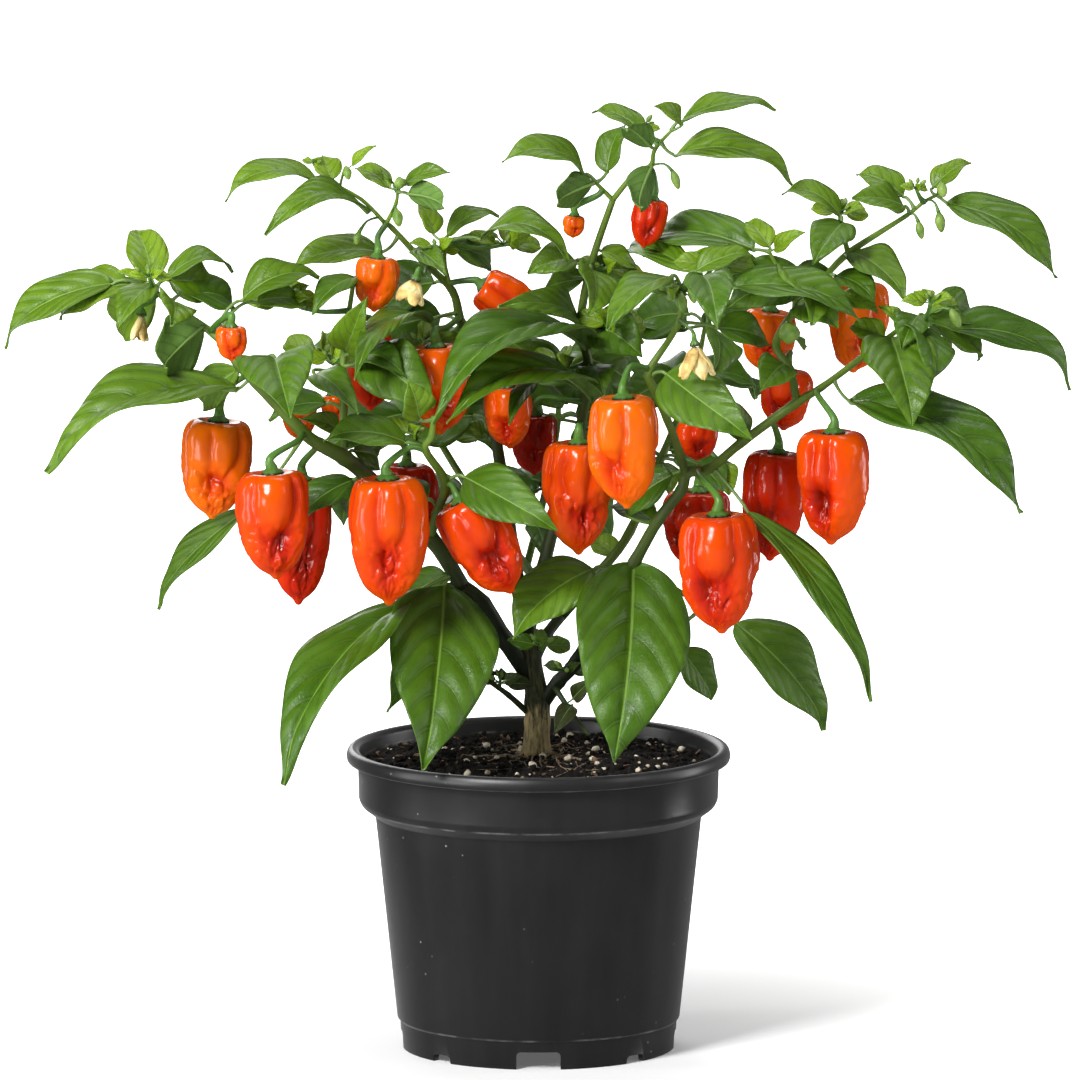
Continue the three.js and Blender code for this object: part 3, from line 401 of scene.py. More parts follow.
def on_curve(points, share):
    """The place at a share of the way along a smooth curve through equally counted points."""
    last = len(points) - 1
    spot = min(max(share, 0), 1) * last
    i = min(int(spot), last - 1)
    t = spot - i
    a, b = points[max(i - 1, 0)], points[i]
    c, d = points[i + 1], points[min(i + 2, last)]
    return [
        0.5 * (2 * q + (r - p) * t + (2 * p - 5 * q + 4 * r - s) * t * t + (3 * q - p - 3 * r + s) * t ** 3)
        for p, q, r, s in zip(a, b, c, d)
    ]


def nearest(paths, right, up):
    """The place on a stem's paths that looks nearest to a point, as [right, up, depth]."""
    best, least = None, math.inf
    for path in paths:
        for a, b in zip(path, path[1:]):
            run = (b[0] - a[0], b[1] - a[1])
            share = ((right - a[0]) * run[0] + (up - a[1]) * run[1]) / (run[0] ** 2 + run[1] ** 2)
            t = min(max(share, 0), 1 - FOOT_INSET / math.hypot(*run))
            spot = [a[k] + (b[k] - a[k]) * t for k in range(3)]
            distance = math.hypot(right - spot[0], up - spot[1])
            if distance < least:
                best, least = spot, distance
    return best


def rightward(up):
    """The direction square to another one that points most to the right."""
    return (Vector((1, 0, 0)) - up * up.x).normalized()


def own_rows(rows, name):
    return [row for row in rows if row[0] == name]


def hanging(row):
    """Top, tip, width and bend of the stalk of a pod or a withered flower."""
    right, up, depth, tip_right, tip_up, width, *bend = row[1:9]
    return seen((right, up, depth)), seen((tip_right, tip_up, depth)), width, bend


# Shapes

def new_shape():
    """An empty shape with the values that the finishes read: how old it is and where on it a point is."""
    bm = bmesh.new()
    bm.verts.layers.float.new("age")
    bm.verts.layers.float_vector.new("grain")
    return bm


def mesh_of(bm, name):
    """The mesh that a shape ends as."""
    mesh = bpy.data.meshes.new(name)
    bm.to_mesh(mesh)
    bm.free()
    return mesh


def add_object(name, data):
    made = bpy.data.objects.new(name, data)
    bpy.context.collection.objects.link(made)
    return made


def join(whole, part, material):
    """Adds a part with its own finish to a bigger shape."""
    for face in part.faces:
        face.material_index = material
    mesh = mesh_of(part, "part")
    whole.from_mesh(mesh)
    bpy.data.meshes.remove(mesh)


def spin(bm, section, steps):
    """A section of (radius, height) spun round the pot's axis."""
    verts = [bm.verts.new((radius, 0, height)) for radius, height in section]
    edges = [bm.edges.new(pair) for pair in zip(verts, verts[1:])]
    bmesh.ops.spin(
        bm, geom=verts + edges, cent=(0, 0, 0), axis=(0, 0, 1), angle=math.tau, steps=steps, use_merge=True,
    )
    bmesh.ops.remove_doubles(bm, verts=bm.verts, dist=0.01)


def round_off(bm, edges, radius, segments):
    """Rounds edges, and gives what the rounding made."""
    return bmesh.ops.bevel(
        bm, geom=edges, offset=radius, offset_type="OFFSET", segments=segments, profile=0.5,
        affect="EDGES", clamp_overlap=True, material=-1,
    )


def tube(whole, points, radii, sides, material=GREEN, age=(0, 0), swell=None, own_age=None):
    """A round stem through the points, with a radius at each; swell(angle, along) changes its radius."""
    last = len(points) - 1
    bm = new_shape()
    bmesh.ops.create_cone(bm, cap_ends=True, segments=sides, radius1=1, radius2=1, depth=1)
    walls = [edge for edge in bm.edges if abs(edge.verts[0].co.z - edge.verts[1].co.z) > 0.5]
    if last > 1:
        bmesh.ops.subdivide_edges(bm, edges=walls, cuts=last - 1, use_grid_fill=True)
    rings = []
    side = Vector((0.31, 0.9, 0.17))
    run = 0
    for i, point in enumerate(points):
        along = (points[min(i + 1, last)] - points[max(i - 1, 0)]).normalized()
        side = (side - along * side.dot(along)).normalized()
        run += (point - points[max(i - 1, 0)]).length
        rings.append((point, side, along.cross(side), radii[i], run))
    ages, grain = bm.verts.layers.float["age"], bm.verts.layers.float_vector["grain"]
    for vert in bm.verts:
        x, y = vert.co.x, vert.co.y
        share = vert.co.z + 0.5
        centre, across, other, radius, distance = rings[round(share * last)]
        if swell:
            radius *= 1 + swell(math.atan2(y, x), distance)
        vert.co = centre + (across * x + other * y) * radius
        vert[ages] = own_age(vert.co) if own_age else between(*age, share)
        vert[grain] = Vector((x * radius, y * radius, distance))
    join(whole, bm, material)


def curved_tube(whole, spots, steps, sides, material, age):
    """A tube along a smooth curve through a few places, each with its radius after it."""
    line = [on_curve(spots, i / steps) for i in range(steps + 1)]
    tube(whole, [Vector(spot[:3]) for spot in line], [spot[3] for spot in line], sides, material, age)


def grown(path, fineness=5):
    """A stem's table path as a smooth line of points and their radii, a little swollen at each joint."""
    spots = [(*seen(place), place[3]) for place in path]
    count = (len(spots) - 1) * fineness
    line = [on_curve(spots, i / count) for i in range(count + 1)]
    radii = [
        spot[3] * (0.98 if 0 < i < count and i % fineness == 0 else 0.88) for i, spot in enumerate(line)
    ]
    return [Vector(spot[:3]) for spot in line], radii


def finish_piece(bm, name, materials, nodes, outward=True):
    """Turns a shape into a piece that stands for its CAD nodes."""
    if outward:
        bmesh.ops.recalc_face_normals(bm, faces=bm.faces)
    bmesh.ops.transform(bm, matrix=IN_ROW, verts=bm.verts)
    mesh = mesh_of(bm, name)
    mesh.shade_smooth()
    for material in materials:
        mesh.materials.append(material)
    piece = add_object(name, mesh)
    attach(piece, "root")
    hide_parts(*nodes)
    return piece


def thicken(piece, thickness, offset, back=0):
    """Gives a sheet its thickness; its back and edge take the finish that is `back` places after its own."""
    skin = piece.modifiers.new("thickness", "SOLIDIFY")
    skin.thickness, skin.offset = thickness, offset
    skin.material_offset = skin.material_offset_rim = back


# Finishes

class Signal:
    """What a shader node gives out. A sum, product or difference of signals is a node as well."""

    def __init__(self, finish, socket):
        self.finish, self.socket = finish, socket

    def __add__(self, other):
        return self.finish.math("ADD", self, other)

    def __mul__(self, other):
        return self.finish.math("MULTIPLY", self, other)

    def __sub__(self, other):
        return self.finish.math("SUBTRACT", self, other)

    def __rsub__(self, other):
        return self.finish.math("SUBTRACT", other, self)

    def __abs__(self):
        return self.finish.math("ABSOLUTE", self)

    def part(self, axis):
        """The X, Y or Z of a vector, by number."""
        return self.finish.node("SeparateXYZ", {0: self}, axis)

    def stretched(self, scale):
        return self.finish.node("Mapping", {"Vector": self, "Scale": scale})

    def step(self, low, high, first=0, last=1):
        """Goes smoothly from the first to the last value while this signal goes from low to high."""
        inputs = {"Value": self, 1: low, 2: high, 3: first, 4: last}
        return self.finish.node("MapRange", inputs, interpolation_type="SMOOTHSTEP")

    def ramp(self, *stops):
        """The colours at the stops and between them, each stop a value and its colour."""
        signal = self.finish.node("ValToRGB", {"Fac": self}, "Color")
        elements = signal.socket.node.color_ramp.elements
        for place, _ in stops[2:]:
            elements.new(place)
        for element, (place, colour) in zip(elements, sorted(stops)):
            element.position, element.color = place, (*colour, 1)
        return signal


class Finish:
    """A material's node tree, built a node at a time."""

    def __init__(self, name, roughness, **constants):
        self.material = bpy.data.materials.new(name)
        self.material.use_nodes = True
        self.tree = self.material.node_tree
        self.shader = self.tree.nodes["Principled BSDF"]
        for socket, value in {"Roughness": roughness, **constants}.items():
            self.shader.inputs[socket.replace("_", " ")].default_value = value

    def node(self, kind, inputs=(), output=0, **settings):
        made = self.tree.nodes.new("ShaderNode" + kind)
        for setting, value in settings.items():
            setattr(made, setting, value)
        for socket, value in dict(inputs).items():
            self.feed(made.inputs[socket], value)
        return Signal(self, made.outputs[output])

    def feed(self, socket, value):
        if isinstance(value, Signal):
            self.tree.links.new(value.socket, socket)
        else:
            socket.default_value = value

    def math(self, operation, *values):
        return self.node("Math", enumerate(values), operation=operation)

    def place(self):
        return self.node("TexCoord", output="Object")

    def value(self, name, output="Fac"):
        return self.node("Attribute", output=output, attribute_name=name)

    def mottle(self, scale, vector=None, detail=3, roughness=0.55):
        inputs = {"Vector": vector or self.place(), "Scale": scale, "Detail": detail, "Roughness": roughness}
        return self.node("TexNoise", inputs, "Fac")

    def cells(self, scale, feature="DISTANCE_TO_EDGE"):
        return self.node("TexVoronoi", {"Vector": self.place(), "Scale": scale}, "Distance", feature=feature)

    def mix(self, share, first, second, blend="MIX"):
        first, second = ((*c, 1) if isinstance(c, tuple) else c for c in (first, second))
        return self.node("Mix", {0: share, 6: first, 7: second}, 2, data_type="RGBA", blend_type=blend)

    def done(self, colour=None, roughness=None, relief=None, depth=0.0004, strength=0.5):
        """The material, with what is given here fed into its shader."""
        if relief is not None:
            relief = self.node("Bump", {"Height": relief, "Distance": depth, "Strength": strength})
        for name, value in (("Base Color", colour), ("Roughness", roughness), ("Normal", relief)):
            if value is not None:
                self.feed(self.shader.inputs[name], value)
        return self.material


def tinted(colour, times, plus=0):
    """A colour made lighter or darker."""
    return tuple(min(times * c + plus, 1) for c in colour)


# Settings

def colour_setting(name, description, default):
    return FloatVectorProperty(
        name=name, description=description, default=default, size=3, min=0, max=1, subtype="COLOR",
    )


def length_setting(name, description, default, low, high):
    return FloatProperty(
        name=name, description=description, default=default, min=low, max=high,
        subtype="DISTANCE", unit="LENGTH",
    )


def share_setting(name, description, default, high):
    return FloatProperty(
        name=name, description=description, default=default, min=0, max=high, subtype="FACTOR",
    )


def count_setting(name, description, default, low, high):
    return IntProperty(name=name, description=description, default=default, min=low, max=high)


class PotSettings(bpy.types.PropertyGroup):
    bead: length_setting("Bead rounding", "Rounding of the rolled rim's edges", 0.0016, 0.0002, 0.002)
    plastic: colour_setting("Plastic", "Colour of the pot", (0.0095, 0.0096, 0.0104))


class SoilSettings(bpy.types.PropertyGroup):
    relief: length_setting("Relief", "Height of the lumps in the soil", 0.0034, 0, 0.006)
    crumbs: count_setting("Crumbs", "Loose crumbs of peat", 1300, 0, 3000)
    chips: count_setting("Bark chips", "Bits of bark", 150, 0, 500)
    beads: count_setting("Perlite beads", "White beads in the soil", 150, 0, 500)
    peat: colour_setting("Peat", "Colour of the soil", (0.0046, 0.0032, 0.0024))


class StemSettings(bpy.types.PropertyGroup):
    green: colour_setting("Green wood", "Colour of the older stems", (0.020, 0.031, 0.005))
    shoot: colour_setting("Young shoots", "Colour of the stems near their tips", (0.13, 0.23, 0.016))
    bark: colour_setting("Bark", "Colour of the trunk near the soil", (0.24, 0.19, 0.085))


class LeafSettings(bpy.types.PropertyGroup):
    thickness: length_setting("Blade thickness", "Thickness of the leaves", 0.0005, 0.0002, 0.0014)
    vein_pairs: count_setting("Vein pairs", "Side veins on a leaf", 6, 3, 12)
    quilting: share_setting(
        "Quilting", "Height of the blade between its veins, as a share of the width", 0.045, 0.08,
    )
    mature: colour_setting("Grown leaf", "Colour of a full-grown leaf", (0.066, 0.152, 0.006))
    young: colour_setting("Young leaf", "Colour of the youngest leaves", (0.24, 0.37, 0.008))
    back: colour_setting("Underside", "Colour of the leaves from below", (0.12, 0.22, 0.045))


class PodSettings(bpy.types.PropertyGroup):
    groove: share_setting(
        "Grooves", "Depth of the grooves between the lobes, as a share of the radius", 0.22, 0.4,
    )
    crumple: share_setting(
        "Crumple", "Depth of the dents in the lower part, as a share of the radius", 0.32, 0.6,
    )
    orange: colour_setting("Orange", "Colour of a pod that begins to ripen", (0.64, 0.100, 0.0006))
    red: colour_setting("Red", "Colour of a ripe pod", (0.40, 0.011, 0.0006))


class StudioSettings(bpy.types.PropertyGroup):
    distance: length_setting("Camera distance", "From the pot's axis to the camera", 9, 1, 30)
    field: length_setting("Field", "Width of the picture at the pot's axis", 0.54, 0.1, 3)
    air: share_setting("Room light", "Brightness of the room around the plant", 0.105, 2)
    floor: colour_setting("Floor", "Colour of the floor", (0.9, 0.9, 0.9))


# Pot

def pot_finish(settings):
    """Satin black plastic with faint streaks from the mould, scuffs and a few specks of dust."""
    finish = Finish(
        "black nursery plastic", 0.36, Specular_IOR_Level=0.5, Sheen_Weight=0.26, Sheen_Roughness=0.35,
    )
    place = finish.place()
    streaks = finish.mottle(60, place.stretched((1, 1, 0.05)), detail=4)
    clouds = finish.mottle(14, detail=5)
    specks = finish.cells(150, "F1").step(0.05, 0.11, 1, 0)
    dust = specks * finish.mottle(24, detail=2).step(0.56, 0.64)
    low, middle, high = (abs(place.part(2) - h * MM).step(0.0002, 0.0008, 1, 0) for h in SEAM_HEIGHTS)
    seam = finish.math("MAXIMUM", finish.math("MAXIMUM", low, middle), high)
    worn = finish.mottle(90, detail=4).step(0.42, 0.66)
    plastic = tuple(settings.plastic)
    paler = tinted(plastic, 1.75, 0.003)
    colour = finish.mix(streaks.step(0.3, 0.75) * 0.5, plastic, paler)
    colour = finish.mix(clouds.step(0.45, 0.8) * 0.35, colour, paler)
    colour = finish.mix(seam * worn * 0.55, colour, (0.21, 0.205, 0.19))
    colour = finish.mix(dust * 0.6, colour, (0.35, 0.34, 0.31))
    relief = streaks * 0.5 + finish.mottle(420, detail=2)
    return finish.done(colour, clouds.step(0.3, 0.7, 0.3, 0.42), relief, depth=0.0002, strength=0.18)


def pot_wall(settings):
    """The pot's section spun round its axis, with its corners rounded."""
    bm = new_shape()
    spin(bm, POT_PROFILE, POT_STEPS)
    bmesh.ops.recalc_face_normals(bm, faces=bm.faces)
    corners = [edge for edge in bm.edges if edge.calc_face_angle(0) > CORNER_ANGLE]
    rim = [edge for edge in corners
           if edge.verts[0].co.z > RIM_ABOVE and edge.verts[0].co.xy.length > RIM_OUTSIDE]
    rim_edges = set(rim)
    rest = [edge for edge in corners if edge not in rim_edges]
    round_off(bm, rim, settings.bead / MM, 4)
    round_off(bm, [edge for edge in rest if edge.is_valid], CORNER_ROUNDING, 2)
    return bm


def cutters():
    """The blocks and pins that leave the notches in the foot and the drain holes in the floor."""
    bm = new_shape()

    def put(verts, outward, height, degrees):
        bmesh.ops.translate(bm, vec=(0, -outward, height), verts=verts)
        return Matrix.Rotation(math.radians(degrees), 3, "Z")

    for notch in (WIDE_NOTCH, SMALL_NOTCH):
        for i in range(NOTCH_COUNT):
            block = bmesh.ops.create_cube(bm, size=1)["verts"]
            bmesh.ops.scale(bm, vec=(notch["width"], CUT_DEPTH, 2 * notch["height"]), verts=block)
            turn = put(block, FOOT_RADIUS, 0, notch["first"] + i * 360 / NOTCH_COUNT)
            edges = {
                edge for vert in block for edge in vert.link_edges
                if abs(edge.verts[0].co.y - edge.verts[1].co.y) > 1 and edge.verts[0].co.z > 0
            }
            made = round_off(bm, list(edges), NOTCH_ROUNDING, 4)
            block = list({*[vert for vert in block if vert.is_valid], *made["verts"]})
            bmesh.ops.rotate(bm, cent=(0, 0, 0), matrix=turn, verts=block)
    for i in range(NOTCH_COUNT):
        pin = bmesh.ops.create_cone(
            bm, cap_ends=True, segments=32, radius1=DRAIN_RADIUS, radius2=DRAIN_RADIUS, depth=20,
        )["verts"]
        turn = put(pin, DRAIN_RING, POT_FLOOR, 45 + i * 360 / NOTCH_COUNT)
        bmesh.ops.rotate(bm, cent=(0, 0, 0), matrix=turn, verts=pin)
    return bm


def cut_away(piece, tool):
    """Takes one shape out of another for good."""
    modifier = piece.modifiers.new("cut", "BOOLEAN")
    modifier.operation = "DIFFERENCE"
    modifier.solver = "EXACT"
    modifier.object = tool
    old, tool_mesh = piece.data, tool.data
    depsgraph = bpy.context.evaluated_depsgraph_get()
    cut = bpy.data.meshes.new_from_object(piece.evaluated_get(depsgraph))
    piece.modifiers.clear()
    piece.data = cut
    cut.name = piece.name
    bpy.data.objects.remove(tool)
    for mesh in (old, tool_mesh):
        bpy.data.meshes.remove(mesh)


class MakePot(bpy.types.Operator):
    """Model the nursery pot with its rolled rim, notched foot and drain holes"""

    bl_idname = "chilli_plant.make_pot"
    bl_label = "Make pot"

    def execute(self, context):
        settings = context.scene.chilli_pot
        notches = cutters()
        bmesh.ops.recalc_face_normals(notches, faces=notches.faces)
        bmesh.ops.transform(notches, matrix=IN_ROW, verts=notches.verts)
        tool = add_object("notches", mesh_of(notches, "notches"))
        pot = finish_piece(pot_wall(settings), "nursery_pot", [pot_finish(settings)], ["pot"])
        cut_away(pot, tool)
        pot.data.set_sharp_from_angle(angle=SHARP_ANGLE)
        return {"FINISHED"}


# Soil

def soil_level(radius):
    """Height of the smooth soil at a distance from the pot's axis."""
    for (outer, low), (inner, high) in zip(SOIL_TOP, SOIL_TOP[1:]):
        if radius >= inner:
            return between(high, low, min((radius - inner) / (outer - inner), 1))
    return SOIL_TOP[-1][1]


def soil_relief(x, y, relief):
    """Height of the lumps above the smooth soil."""
    lumps = noise.fractal(Vector((x * 0.11, y * 0.11, 3.1)), 0.7, 2.1, 5)
    fine = noise.turbulence(Vector((x * 0.42, y * 0.42, 7.7)), 3, False)
    near_wall = smooth_step(89, 80, math.hypot(x, y)) if math.hypot(x, y) < 89 else 0
    return relief * (0.55 * lumps + 0.55 * (fine - 0.45)) * (0.3 + 0.7 * near_wall)


def ground(x, y, relief):
    """Height of the soil at a place."""
    return soil_level(math.hypot(x, y)) + soil_relief(x, y, relief)


def peat_finish(settings):
    """Damp dark peat with fibres of a lighter brown."""
    finish = Finish("peat", 0.92, Specular_IOR_Level=0.25)
    grain = finish.mottle(420, detail=6, roughness=0.7)
    patches = finish.mottle(70, detail=4).step(0.5, 0.75) * 0.4
    peat = tuple(settings.peat)
    colour = grain.ramp((0.3, tinted(peat, 0.45)), (0.52, peat), (0.72, tinted(peat, 3.4)))
    colour = finish.mix(patches, colour, (0.05, 0.028, 0.014))
    return finish.done(colour, None, grain + finish.mottle(1400, detail=4), depth=0.0009, strength=0.9)


def grain_finish(name, roughness, tint, detail, stops, relief, depth, strength):
    """A rough finish whose colour goes from grain to grain through a few stops."""
    finish = Finish(name, roughness)
    colour = finish.mottle(tint, detail=detail).ramp(*stops)
    return finish.done(colour, None, finish.mottle(relief, detail=4), depth, strength)


def bead_finish():
    stops = ((0.3, (0.36, 0.30, 0.20)), (0.5, (0.66, 0.58, 0.44)), (0.7, (0.86, 0.81, 0.69)))
    return grain_finish("perlite", 0.85, 260, 4, stops, 900, 0.0005, 0.7)


def chip_finish():
    stops = ((0.32, (0.02, 0.011, 0.006)), (0.5, (0.085, 0.047, 0.024)), (0.68, (0.23, 0.15, 0.085)))
    return grain_finish("bark chips", 0.8, 190, 5, stops, 700, 0.0006, 0.8)


def soil_bed(relief):
    """The soil's section spun round, with a fine top raised into lumps by a formula."""
    bm = new_shape()
    radii = [SOIL_RADIUS * (1 - i / SOIL_RINGS) for i in range(1, SOIL_RINGS + 1)]
    spin(bm, SOIL_SIDE + [(radius, soil_level(radius)) for radius in radii], SOIL_STEPS)
    for vert in bm.verts:
        if vert.co.z > LUMPS_ABOVE:
            vert.co.z += soil_relief(vert.co.x, vert.co.y, relief)
    return bm


def strewn(count, seed):
    """Places on the soil, the same each time, clear of the trunk and the wall."""
    places = []
    turn = math.pi * (3 - math.sqrt(5))
    for i in range(count):
        radius = STREWN_REACH * math.sqrt((i + 0.5) / count) + 3 * (scatter(seed + i * 1.7) - 0.5)
        angle = i * turn + 0.9 * scatter(seed + i * 2.3)
        x, y = radius * math.cos(angle), radius * math.sin(angle)
        if TRUNK_CLEARANCE < math.hypot(x - TRUNK_FOOT.x, y) and math.hypot(x, y) < STREWN_REACH:
            places.append((x, y, seed + i * 3.1))
    return places


def crumb(bm, x, y, seed, size, stretch, height, rounds):
    """A lump on the soil: a small ball pushed out of true."""
    lump = bmesh.ops.create_icosphere(bm, subdivisions=rounds, radius=1)["verts"]
    turn = Quaternion([draw - 0.5 for draw in draws(seed, 1, 3)]).to_matrix()
    turn = Matrix.Rotation(math.tau * scatter(seed + 3), 3, "Z") @ turn
    for vert in lump:
        rough = 1 + 0.5 * (noise.noise(vert.co * 1.3 + Vector((seed, 0, 0))))
        own = Vector([c * size * s * rough for c, s in zip(vert.co, stretch)])
        vert.co = Vector((x, y, height)) + turn @ own


class MakeSoil(bpy.types.Operator):
    """Model the soil with its crumbs, bark chips, perlite and surface roots"""

    bl_idname = "chilli_plant.make_soil"
    bl_label = "Make soil"

    def execute(self, context):
        settings = context.scene.chilli_soil
        relief = settings.relief / MM
        peat = peat_finish(settings)
        finish_piece(soil_bed(relief), "soil_bed", [peat], ["soil"])
        lump, flake = (1, 0.8, 0.7), (1.9, 0.75, 0.35)
        lots = (
            ("peat_crumbs", settings.crumbs, 11, (0.5, 2.3), 0.45, 1, lump, peat),
            ("bark_chips", settings.chips, 401, (0.8, 2.1), 0.3, 1, flake, chip_finish()),
            ("perlite_beads", settings.beads, 907, (0.5, 2.5), 0.35, 2, lump, bead_finish()),
        )
        for name, count, seed, sizes, sunk, rounds, stretch, material in lots:
            bm = new_shape()
            for x, y, own in strewn(count, seed):
                size = between(*sizes, scatter(own) ** 2.4)
                crumb(bm, x, y, own, size, stretch, ground(x, y, relief) + size * (1 - sunk), rounds)
            piece = finish_piece(bm, name, [material], ["soil"])
            if stretch == flake:
                piece.data.shade_flat()
        self.make_roots(relief)
        return {"FINISHED"}

    def make_roots(self, relief):
        """Thin pale roots that run out from the trunk over the soil."""
        bm = new_shape()
        for i in range(ROOT_COUNT):
            angle = math.tau * (i + scatter(i + 60)) / ROOT_COUNT
            reach = between(12, 46, scatter(i + 80))
            points, radii = [], []
            for k in range(9):
                share = k / 8
                out = 5 + reach * share
                bend = angle + 0.5 * share * math.sin(5 * share + 6 * scatter(i + 90))
                x, y = TRUNK_FOOT.x + out * math.cos(bend), out * math.sin(bend)
                lift = 0.5 + 1.2 * (1 - share) ** 3 - 0.9 * smooth_step(0.8, 1, share)
                points.append(Vector((x, y, ground(x, y, relief) + lift)))
                radii.append(between(0.55, 0.16, share) * between(0.6, 1.2, scatter(i + 70)))
            tube(bm, points, radii, 5)
        finish = Finish("surface roots", 0.75)
        colour = finish.mottle(300).ramp((0.3, (0.10, 0.065, 0.035)), (0.7, (0.33, 0.25, 0.16)))
        finish_piece(bm, "surface_roots", [finish.done(colour)], ["soil"])


# Stems

def wood_finish(settings):
    """Green stems with long pale streaks, lighter near their tips, and painted near-black low down as shade
    under the leaves.
    """
    finish = Finish("green wood", 0.48, Specular_IOR_Level=0.4)
    age = finish.value("age")
    streaks = finish.mottle(1.1, finish.value("grain", "Vector").stretched((1, 1, 0.09)), detail=4)
    blotch = finish.mottle(55).step(0.5, 0.75)
    old = tuple(settings.green)
    colour = finish.mix(age, tuple(settings.shoot), old)
    colour = finish.mix(streaks.step(0.5, 0.72) * 0.65, colour, tinted(old, 2.3, 0.012))
    colour = finish.mix(blotch * (age * 0.6), colour, tinted(old, 0.42))
    # Painted shade: below about 0.2 m up the stems darken to near-black, as if under the leaves.
    colour = finish.mix(finish.place().part(2).step(0.19, 0.26, 0.85, 0), colour, (0.007, 0.010, 0.004))
    relief = streaks + finish.mottle(700) * 0.3
    return finish.done(colour, streaks.step(0.3, 0.7, 0.4, 0.58), relief, depth=0.0004, strength=0.5)


def bark_finish(settings):
    """Tan corky bark at the foot, dark green-brown wood above it."""
    finish = Finish("trunk bark", 0.75, Specular_IOR_Level=0.3)
    grain = finish.value("grain", "Vector")
    cracks = finish.mottle(0.75, grain.stretched((1, 1, 0.16)), detail=6, roughness=0.65)
    fine = finish.mottle(2.6, grain.stretched((1, 1, 0.3)), detail=5)
    bark = tuple(settings.bark)
    corky = cracks.ramp((0.32, tinted(bark, 0.22)), (0.5, bark), (0.68, tinted(bark, 1.7)))
    wood = cracks.ramp(
        (0.34, (0.010, 0.011, 0.005)), (0.52, (0.034, 0.040, 0.014)), (0.7, (0.088, 0.088, 0.034)),
    )
    edge = finish.value("age") + (cracks - 0.5) * 1.2
    colour = finish.mix(edge.step(0.3, 0.75), wood, corky)
    return finish.done(colour, None, cracks + fine * 0.4, depth=0.0012, strength=0.8)


def petiole_finish():
    """Leaf stalks and the ribs under the blades, pale yellow-green."""
    finish = Finish("leaf stalks", 0.45)
    colour = finish.mix(finish.value("age"), (0.20, 0.34, 0.07), (0.085, 0.165, 0.035))
    colour = finish.mix(finish.mottle(120) * 0.35, colour, (0.07, 0.12, 0.03))
    return finish.done(colour, None, finish.mottle(800), depth=0.0002, strength=0.3)


def calyx_finish():
    """Pod stalks: fresh green, darker on the crimped rim of the calyx."""
    finish = Finish("calyx and stalk", 0.38, Specular_IOR_Level=0.45)
    streaks = finish.mottle(1.4, finish.value("grain", "Vector").stretched((1, 1, 0.12)))
    colour = finish.value("age").ramp(
        (0, (0.075, 0.19, 0.024)), (0.55, (0.045, 0.12, 0.016)), (1, (0.016, 0.03, 0.008)),
    )
    colour = finish.mix(streaks.step(0.5, 0.75) * 0.5, colour, (0.14, 0.27, 0.05))
    return finish.done(colour, None, streaks, depth=0.0003, strength=0.4)


def bud_finish():
    finish = Finish("flower buds", 0.5)
    colour = finish.mottle(170).ramp((0.35, (0.09, 0.19, 0.02)), (0.7, (0.24, 0.35, 0.06)))
    return finish.done(colour, None, finish.mottle(900), depth=0.0003, strength=0.4)


def trunk_ridges(angle, along):
    """Flutes and cork on the trunk, as a change of its radius."""
    flutes = 0.035 * math.sin(5 * angle + 0.05 * along)
    spot = Vector((1.6 * math.cos(angle), 1.6 * math.sin(angle), along * 0.055))
    cork = 0.10 * noise.fractal(spot, 0.8, 2.2, 4)
    scar = 0.09 * math.exp(-((along - 46) / 3.2) ** 2) + 0.05 * math.exp(-((along - 58) / 2.4) ** 2)
    root_flare = 0.35 * math.exp(-max(along - 24, 0) / 5)
    return flutes + cork + scar + root_flare


def stem_grooves(angle, along):
    return 0.05 * math.sin(3 * angle + 0.03 * along)


def cork_share(place):
    """How far the trunk's bark is corky at a height."""
    return 1 - smooth_step(156, 186, place.z)


def stem_sides(radius):
    return 28 if radius > 6 else 16 if radius > 3 else 12 if radius > 1.6 else 8


def wood(bm, name):
    """The stems of one bough."""
    for path in PATHS[name]:
        line, radii = grown(path)
        thickest = max(radii)
        if path is PATHS["trunk"][0]:
            tube(bm, line, radii, stem_sides(thickest), BARK, swell=trunk_ridges, own_age=cork_share)
            continue
        ends = [min(max((radius - 0.9) / 2.4, 0), 1) for radius in (radii[0], radii[-1])]
        tube(bm, line, radii, stem_sides(thickest), GREEN, ends, stem_grooves if thickest > 1.6 else None)


def stalk(bm, paths, row, radius, thick):
    """A pod's or flower's stalk, widening into its calyx, a disc with a crimped rim."""
    top, tip, width, bend = hanging(row)
    up = (top - tip).normalized()
    foot = nearest(paths, *bend)
    elbow = seen((*bend, foot[2]))
    elbow.y = (seen(foot).y + top.y) / 2
    neck = top + up * 0.7 * CALYX_HEIGHT
    throat = neck + up * min(0.28 * (elbow - neck).length, 0.12 * width + 2)
    spots = [(*seen(foot), thick * 1.05), (*elbow, thick), (*throat, thick * 1.25), (*neck, radius * 0.6)]
    curved_tube(bm, spots, 18, 12, STALKS, (0.5, 0))
    disc = new_shape()
    rings = len(CALYX_PROFILE) - 1
    bmesh.ops.create_uvsphere(disc, u_segments=30, v_segments=rings, radius=1)
    side = rightward(up)
    other = up.cross(side)
    ages, grain = disc.verts.layers.float["age"], disc.verts.layers.float_vector["grain"]
    for vert in disc.verts:
        ring = round(math.acos(min(max(vert.co.z, -1), 1)) / math.pi * rings)
        angle = math.atan2(vert.co.y, vert.co.x)
        share, height = CALYX_PROFILE[ring]
        crimp = 1 + 0.09 * math.cos(5 * angle + bend[0]) * smooth_step(0.5, 1, share)
        rise = CALYX_HEIGHT * height + 0.35 * math.cos(10 * angle) * smooth_step(0.8, 1, share)
        reach = radius * share * crimp
        vert.co = top + up * rise + (side * math.cos(angle) + other * math.sin(angle)) * reach
        vert[ages] = 1 if 5 <= ring <= 8 else 0.3
        vert[grain] = Vector((reach * math.cos(angle), reach * math.sin(angle), height))
    join(bm, disc, STALKS)


